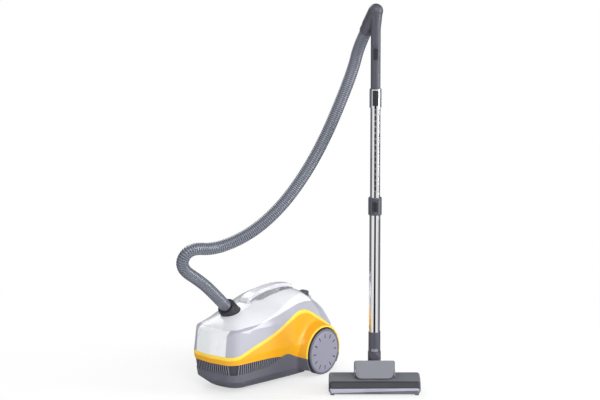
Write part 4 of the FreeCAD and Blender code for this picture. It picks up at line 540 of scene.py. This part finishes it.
class VacuumColours(bpy.types.PropertyGroup):
    """Colours of the finishes, as seen."""
    hood: bpy.props.FloatVectorProperty(
        name="Hood", description="White of the hood and its handle",
        default=(0.89, 0.89, 0.905), subtype="COLOR_GAMMA")
    belt: bpy.props.FloatVectorProperty(
        name="Belt", description="Light grey of the side belts and the rear casing",
        default=(0.69, 0.69, 0.73), subtype="COLOR_GAMMA")
    casing: bpy.props.FloatVectorProperty(
        name="Casing", description="Yellow of the lower casing",
        default=(0.945, 0.665, 0.0), subtype="COLOR_GAMMA")
    # Painted highlight: the paler yellow on the bevelled edges stands in for the light that they catch.
    casing_edge_highlight: bpy.props.FloatVectorProperty(
        name="Casing edge", description="Paler yellow of the casing's bevelled edges",
        default=(1.0, 0.85, 0.28), subtype="COLOR_GAMMA")
    # Partly painted light: the panel's near white, made lighter than the hood's white for the light on the
    # nose's front.
    nose: bpy.props.FloatVectorProperty(
        name="Nose", description="Near white of the panel in the middle of the nose",
        default=(0.935, 0.94, 0.94), subtype="COLOR_GAMMA")
    base: bpy.props.FloatVectorProperty(
        name="Base", description="Slate grey of the floor pan and the caster's fork",
        default=(0.39, 0.39, 0.43), subtype="COLOR_GAMMA")
    hub: bpy.props.FloatVectorProperty(
        name="Hub", description="Lilac grey of the hub caps",
        default=(0.575, 0.575, 0.64), subtype="COLOR_GAMMA")
    grip: bpy.props.FloatVectorProperty(
        name="Grip", description="Graphite of the hand grip, the wand's collars and the elbow",
        default=(0.30, 0.30, 0.34), subtype="COLOR_GAMMA")
    hose: bpy.props.FloatVectorProperty(
        name="Hose", description="Blue grey of the hose",
        default=(0.47, 0.49, 0.54), subtype="COLOR_GAMMA")


# Hose

def hose_line():
    """Points read from the smooth spline that follows the hose's route."""
    curve = bpy.data.curves.new("Hose line", "CURVE")
    curve.dimensions = "3D"
    spline = curve.splines.new("NURBS")
    spline.points.add(len(HOSE_ROUTE) - 1)
    for point, spot in zip(spline.points, HOSE_ROUTE):
        point.co = (*spot, 1.0)
    spline.order_u = 3
    spline.use_endpoint_u = True
    spline.resolution_u = 40
    holder = bpy.data.objects.new("Hose line", curve)
    bpy.context.scene.collection.objects.link(holder)
    bpy.context.view_layer.update()
    mesh = bpy.data.meshes.new_from_object(holder)
    points = [vertex.co.copy() for vertex in mesh.vertices]
    bpy.data.objects.remove(holder)
    bpy.data.meshes.remove(mesh)
    return points


def evenly(points, count):
    """Points at equal steps along a line, and its length."""
    reach = [0.0]
    for before, after in zip(points, points[1:]):
        reach.append(reach[-1] + (after - before).length)
    found, number = [], 0
    for step in range(count + 1):
        wanted = reach[-1] * step / count
        while number < len(points) - 2 and reach[number + 1] < wanted:
            number += 1
        span = reach[number + 1] - reach[number]
        found.append(points[number].lerp(points[number + 1], (wanted - reach[number]) / span))
    return found, reach[-1]


def hose_shape(path, radius, rib_depth):
    """Vertices, crest values and faces of a ribbed tube along a path."""
    directions = []
    for place in range(len(path)):
        before, after = path[max(place - 1, 0)], path[min(place + 1, len(path) - 1)]
        directions.append((after - before).normalized())
    side = directions[0].cross(Vector((0, 1, 0))).normalized()
    spots, crests, faces = [], [], []
    for place, (centre, direction) in enumerate(zip(path, directions)):
        side = (side - direction * side.dot(direction)).normalized()
        other = direction.cross(side)
        crest = RIB_PROFILE[place % len(RIB_PROFILE)]
        ring_radius = radius - rib_depth + rib_depth * crest
        for number in range(HOSE_SIDES):
            turn = 2 * math.pi * number / HOSE_SIDES
            spots.append(centre + (side * math.cos(turn) + other * math.sin(turn)) * ring_radius)
            crests.append(crest)
    last = len(path) - 1
    for ring in range(last):
        here, there = ring * HOSE_SIDES, (ring + 1) * HOSE_SIDES
        for number in range(HOSE_SIDES):
            following = (number + 1) % HOSE_SIDES
            faces.append((here + number, here + following, there + following, there + number))
    # Each end is closed across, inside the collar and the cuff.
    faces.append(tuple(reversed(range(HOSE_SIDES))))
    faces.append(tuple(range(last * HOSE_SIDES, (last + 1) * HOSE_SIDES)))
    return spots, crests, faces


# Studio

def painted_reflection_tone(tree, vector, shift):
    """Painted reflection: tone of a made-up room round the wand, by the way that a reflection leaves it."""
    moved = add_node(tree, "ShaderNodeVectorMath", {0: vector, 1: shift}, operation="ADD")
    level = add_node(tree, "ShaderNodeVectorMath", {0: moved.outputs[0], 1: (1, 1, 0)},
                     operation="MULTIPLY")
    way = add_node(tree, "ShaderNodeVectorMath", {0: level.outputs[0]}, operation="NORMALIZE")
    front = add_node(tree, "ShaderNodeVectorMath", {0: way.outputs[0], 1: NOZZLE_FRONT},
                     operation="DOT_PRODUCT")
    ramp = add_node(tree, "ShaderNodeValToRGB", {0: front.outputs["Value"]})
    stops = ramp.color_ramp.elements
    (start, first), *between, (end, last) = PAINTED_REFLECTION_STOPS
    stops[0].position, stops[0].color = start, linear(first)
    stops[1].position, stops[1].color = end, linear(last)
    for place, colour in between:
        stops.new(place).color = linear(colour)
    return ramp.outputs[0]


def studio_paper():
    """White paper that glows to the camera and keeps a shadow near the object."""
    material, tree, output = blank_material("Studio paper")
    matt = add_node(tree, "ShaderNodeBsdfPrincipled",
                    {"Base Color": linear("#f4f4f4"), "Roughness": 0.9})
    rays = add_node(tree, "ShaderNodeLightPath").outputs
    place = add_node(tree, "ShaderNodeTexCoord").outputs["Object"]
    # Painted reflection: to polished tubes the paper shows a made-up room, with a dark flag behind the
    # viewer and grey walls behind.
    tone = painted_reflection_tone(tree, place, (-WAND_AXIS[0], -WAND_AXIS[1], 0))
    colour = add_node(tree, "ShaderNodeMix",
                      {MIX_SHARE: rays["Is Glossy Ray"], MIX_LOW: linear("#ffffff"),
                       MIX_HIGH: tone}, data_type="RGBA")
    glow = add_node(tree, "ShaderNodeEmission",
                    {"Color": colour.outputs[MIX_RESULT], "Strength": 1.0})
    # Far from the object the paper fades into the white backdrop; near it the shadow stays.
    away = add_node(tree, "ShaderNodeVectorMath", {0: place}, operation="LENGTH")
    fade = add_node(tree, "ShaderNodeMapRange", {
        "Value": away.outputs["Value"], "From Min": FADE_REACH[0], "From Max": FADE_REACH[1],
        "To Min": FADE_SHARE[0], "To Max": FADE_SHARE[1]})
    seen = add_node(tree, "ShaderNodeMath",
                    {0: rays["Is Camera Ray"], 1: rays["Is Transmission Ray"]},
                    operation="MAXIMUM")
    near = add_node(tree, "ShaderNodeMath", {0: seen.outputs[0], 1: fade.outputs[0]},
                    operation="MULTIPLY")
    share = add_node(tree, "ShaderNodeMath", {0: near.outputs[0], 1: rays["Is Glossy Ray"]},
                     operation="MAXIMUM")
    mixed = add_node(tree, "ShaderNodeMixShader",
                     {0: share.outputs[0], 1: matt.outputs[0], 2: glow.outputs[0]})
    tree.links.new(mixed.outputs[0], output.inputs[0])
    return material


def studio_air():
    """A soft pale sky, white to the camera, and to polished metal a painted reflection of a made-up room.
    """
    world = bpy.data.worlds.new("Studio air")
    world.use_nodes = True
    tree = world.node_tree
    tree.nodes.clear()
    rays = add_node(tree, "ShaderNodeLightPath").outputs
    clear = add_node(tree, "ShaderNodeMath",
                     {0: rays["Is Camera Ray"], 1: rays["Is Transmission Ray"]},
                     operation="MAXIMUM")
    soft = add_node(tree, "ShaderNodeBackground", {"Color": linear("#f2f4f8"), "Strength": 0.62})
    white = add_node(tree, "ShaderNodeBackground", {"Color": linear("#ffffff"), "Strength": 1.0})
    way = add_node(tree, "ShaderNodeTexCoord").outputs["Generated"]
    painted_room_reflection = add_node(tree, "ShaderNodeBackground",
                     {"Color": painted_reflection_tone(tree, way, (0, 0, 0)), "Strength": 0.9})
    room = add_node(tree, "ShaderNodeMixShader",
                    {0: rays["Is Glossy Ray"], 1: soft.outputs[0], 2: painted_room_reflection.outputs[0]})
    mixed = add_node(tree, "ShaderNodeMixShader",
                     {0: clear.outputs[0], 1: room.outputs[0], 2: white.outputs[0]})
    output = tree.nodes.new("ShaderNodeOutputWorld")
    tree.links.new(mixed.outputs[0], output.inputs[0])
    return world


# Operators

class VACUUM_OT_camera(bpy.types.Operator):
    """Set up the camera"""
    bl_idname = "vacuum.camera"
    bl_label = "Camera"

    def execute(self, context):
        sight = Vector(CAMERA_SIGHT).normalized()
        lens = bpy.data.cameras.new("Camera")
        camera = bpy.data.objects.new("Camera", lens)
        context.scene.collection.objects.link(camera)
        camera.location = CAMERA_PLACE
        right = sight.cross(Vector((0, 0, 1))).normalized()
        up = right.cross(sight)
        camera.rotation_mode = "QUATERNION"
        camera.rotation_quaternion = Matrix((right, up, -sight)).transposed().to_quaternion()
        lens.sensor_width = SENSOR_MM
        lens.lens = LENS_MM
        lens.shift_x = LENS_SHIFT
        lens.clip_start, lens.clip_end = NEAR_LIMIT, FAR_LIMIT
        context.scene.camera = camera
        return {"FINISHED"}


class VACUUM_OT_hose(bpy.types.Operator):
    """Make the ribbed hose along its route"""
    bl_idname = "vacuum.hose"
    bl_label = "Hose"

    def execute(self, context):
        sizes = context.scene.vacuum_sizes
        path, length = evenly(hose_line(), sizes.rib_count * len(RIB_PROFILE))
        spots, crests, faces = hose_shape(path, sizes.hose_radius, sizes.rib_depth)
        mesh = bpy.data.meshes.new("hose_ribbed")
        mesh.from_pydata([tuple(spot) for spot in spots], [], faces)
        mesh.update()
        mesh.attributes.new("crest", "FLOAT", "POINT").data.foreach_set("value", crests)
        hose = bpy.data.objects.new("hose_ribbed", mesh)
        context.scene.collection.objects.link(hose)
        only(hose)
        bpy.ops.object.mode_set(mode="EDIT")
        bpy.ops.mesh.select_all(action="SELECT")
        bpy.ops.mesh.normals_make_consistent(inside=False)
        bpy.ops.object.mode_set(mode="OBJECT")
        bpy.ops.object.shade_smooth_by_angle(angle=math.radians(HOSE_SMOOTHING))
        mesh.materials.append(palette("Ribbed hose vinyl"))
        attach(hose, "canister")
        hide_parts("suction_hose")
        return {"FINISHED"}


class VACUUM_OT_casing(DressGroup, bpy.types.Operator):
    """Finish the canister's casing"""
    bl_idname = "vacuum.casing"
    bl_label = "Casing"
    angle = 24.0
    finishes = {
        "base_tray": "Satin slate polypropylene", "fin_grille": "Painted-light slate polypropylene",
        "yellow_shell": "Glossy yellow ABS", "side_belt_left": "Glossy silver ABS",
        "side_belt_right": "Glossy silver ABS", "rear_cover": "Glossy silver ABS",
        "front_panel": "Nose gloss ABS with painted light", "hood": "Glossy white ABS",
        "exhaust_door": "Glossy silver ABS", "carrying_handle": "Glossy white ABS",
    }
    accents = {"fin_grille": [("Painted-shade slate polypropylene", painted_shade_between_fins)]}


class VACUUM_OT_controls(DressGroup, bpy.types.Operator):
    """Finish the pedals, the inlet and the cord's outlet"""
    bl_idname = "vacuum.controls"
    bl_label = "Controls and inlet"
    finishes = {
        "power_pedal": "Satin graphite ABS", "rewind_pedal": "Satin graphite ABS",
        "power_spring": "Brushed steel", "rewind_spring": "Brushed steel",
        "inlet_ring": "Satin black ABS", "inlet_seal": "Soft black rubber",
        "hose_collar": "Satin black ABS", "collar_latch": "Satin graphite ABS",
        "cord_outlet": "Soft black rubber",
    }


class VACUUM_OT_wheels(DressGroup, bpy.types.Operator):
    """Finish the wheels and the caster"""
    bl_idname = "vacuum.wheels"
    bl_label = "Wheels"
    finishes = {
        "tyre_left": "Grey tread rubber", "tyre_right": "Grey tread rubber",
        "wheel_left": "Satin lilac-grey ABS", "wheel_right": "Satin lilac-grey ABS",
        "axle_left": "Brushed steel", "axle_right": "Brushed steel",
        "caster_fork": "Satin slate polypropylene", "caster_wheel": "Soft black rubber",
    }
    accents = {
        "wheel_left": [("Painted-shade slot ABS", painted_shade_in_slot)],
        "wheel_right": [("Painted-shade slot ABS", painted_shade_in_slot)],
        "tyre_left": [("Pale wall rubber", on_outer_wall)],
        "tyre_right": [("Pale wall rubber", on_outer_wall)],
    }


class VACUUM_OT_works(DressGroup, bpy.types.Operator):
    """Finish the bin, the filters, the motor, the reel and the board"""
    bl_idname = "vacuum.works"
    bl_label = "Inner works"
    finishes = {
        "dust_bin": "Tinted bin polycarbonate", "bin_lid": "Satin graphite ABS",
        "bin_filter": "Filter fleece", "inlet_duct": "Satin black ABS",
        "motor_housing": "Brushed steel", "motor_stator": "Laminated iron",
        "motor_rotor": "Brushed steel", "fan_impeller": "Brushed steel",
        "motor_mounts": "Soft black rubber", "cord_reel": "Satin black ABS",
        "reel_spindle": "Satin black ABS", "control_board": "Green board laminate",
        "exhaust_filter": "Filter fleece",
    }


class VACUUM_OT_wand(DressGroup, bpy.types.Operator):
    """Finish the hand grip and the telescopic wand"""
    bl_idname = "vacuum.wand"
    bl_label = "Grip and wand"
    finishes = {
        "hose_cuff": "Satin graphite ABS", "handle_shell": "Satin graphite ABS",
        "air_slider": "Satin black ABS", "lock_tongue": "Satin black ABS",
        "upper_tube": "Chromed steel tube", "detent_strip": "Brushed steel",
        "lower_tube": "Chromed steel tube", "lock_collar": "Satin graphite ABS",
        "collar_slider": "Satin black ABS", "end_connector": "Satin graphite ABS",
        "release_button": "Pale button ABS", "elbow": "Satin graphite ABS",
    }
    accents = {
        "handle_shell": [("Chrome-plated ABS", on_socket)],
        "detent_strip": [("Painted-shade slot ABS", painted_shade_in_notch)],
    }


class VACUUM_OT_nozzle(DressGroup, bpy.types.Operator):
    """Finish the floor nozzle"""
    bl_idname = "vacuum.nozzle"
    bl_label = "Floor nozzle"
    finishes = {
        "nozzle_body": "Satin charcoal ABS", "sole_plate": "Satin ash-grey ABS",
        "neck_cover": "Satin ash-grey ABS", "brush_roller": "Brush bristle nylon",
        "turbine_wheel": "Satin black ABS", "rear_roller_left": "Soft black rubber",
        "rear_roller_right": "Soft black rubber",
    }
    accents = {
        "nozzle_body": [("Smoked polycarbonate with painted dark reflection", on_window_painted_dark), ("Painted-reflection lilac-grey ABS", painted_reflection_lip)],
        "neck_cover": [("Satin black ABS", painted_shade_on_rim)],
    }


class VACUUM_OT_stage(bpy.types.Operator):
    """Lay the floor and hang the lights"""
    bl_idname = "vacuum.stage"
    bl_label = "Stage"

    def execute(self, context):
        deselect()
        bpy.ops.mesh.primitive_plane_add(size=FLOOR_SIZE, location=(0, 0, 0))
        floor = context.object
        floor.name = "studio_floor"
        floor.data.materials.append(studio_paper())
        context.scene.world = studio_air()
        for name, spot, width, height, power in SOFTBOXES:
            light = bpy.data.lights.new(name, "AREA")
            light.shape = "RECTANGLE"
            light.size, light.size_y = width, height
            light.energy = power
            lamp = bpy.data.objects.new(name, light)
            lamp.location = spot
            lamp.rotation_mode = "QUATERNION"
            lamp.rotation_quaternion = (LIGHTS_AIM - Vector(spot)).to_track_quat("-Z", "Y")
            context.scene.collection.objects.link(lamp)
        context.scene.view_settings.view_transform = "Standard"
        return {"FINISHED"}


class VACUUM_PT_panel(bpy.types.Panel):
    """The vacuum cleaner's steps in order"""
    bl_idname = "VACUUM_PT_panel"
    bl_label = "Canister vacuum cleaner"
    bl_space_type = "VIEW_3D"
    bl_region_type = "UI"
    bl_category = "Vacuum"

    def draw(self, context):
        for operator in OPERATORS:
            self.layout.operator(operator.bl_idname)


OPERATORS = (
    VACUUM_OT_camera, VACUUM_OT_hose, VACUUM_OT_casing, VACUUM_OT_controls, VACUUM_OT_wheels,
    VACUUM_OT_works, VACUUM_OT_wand, VACUUM_OT_nozzle, VACUUM_OT_stage,
)
CLASSES = (VacuumSizes, VacuumColours) + OPERATORS + (VACUUM_PT_panel,)


def register():
    for kind in CLASSES:
        bpy.utils.register_class(kind)
    bpy.types.Scene.vacuum_sizes = bpy.props.PointerProperty(type=VacuumSizes)
    bpy.types.Scene.vacuum_colours = bpy.props.PointerProperty(type=VacuumColours)


def unregister():
    del bpy.types.Scene.vacuum_colours
    del bpy.types.Scene.vacuum_sizes
    for kind in reversed(CLASSES):
        bpy.utils.unregister_class(kind)


def main():
    register()
    bpy.ops.vacuum.camera()
    bpy.ops.vacuum.hose()
    bpy.ops.vacuum.casing()
    bpy.ops.vacuum.controls()
    bpy.ops.vacuum.wheels()
    bpy.ops.vacuum.works()
    bpy.ops.vacuum.wand()
    bpy.ops.vacuum.nozzle()
    bpy.ops.vacuum.stage()


if __name__ == "__main__":
    main()
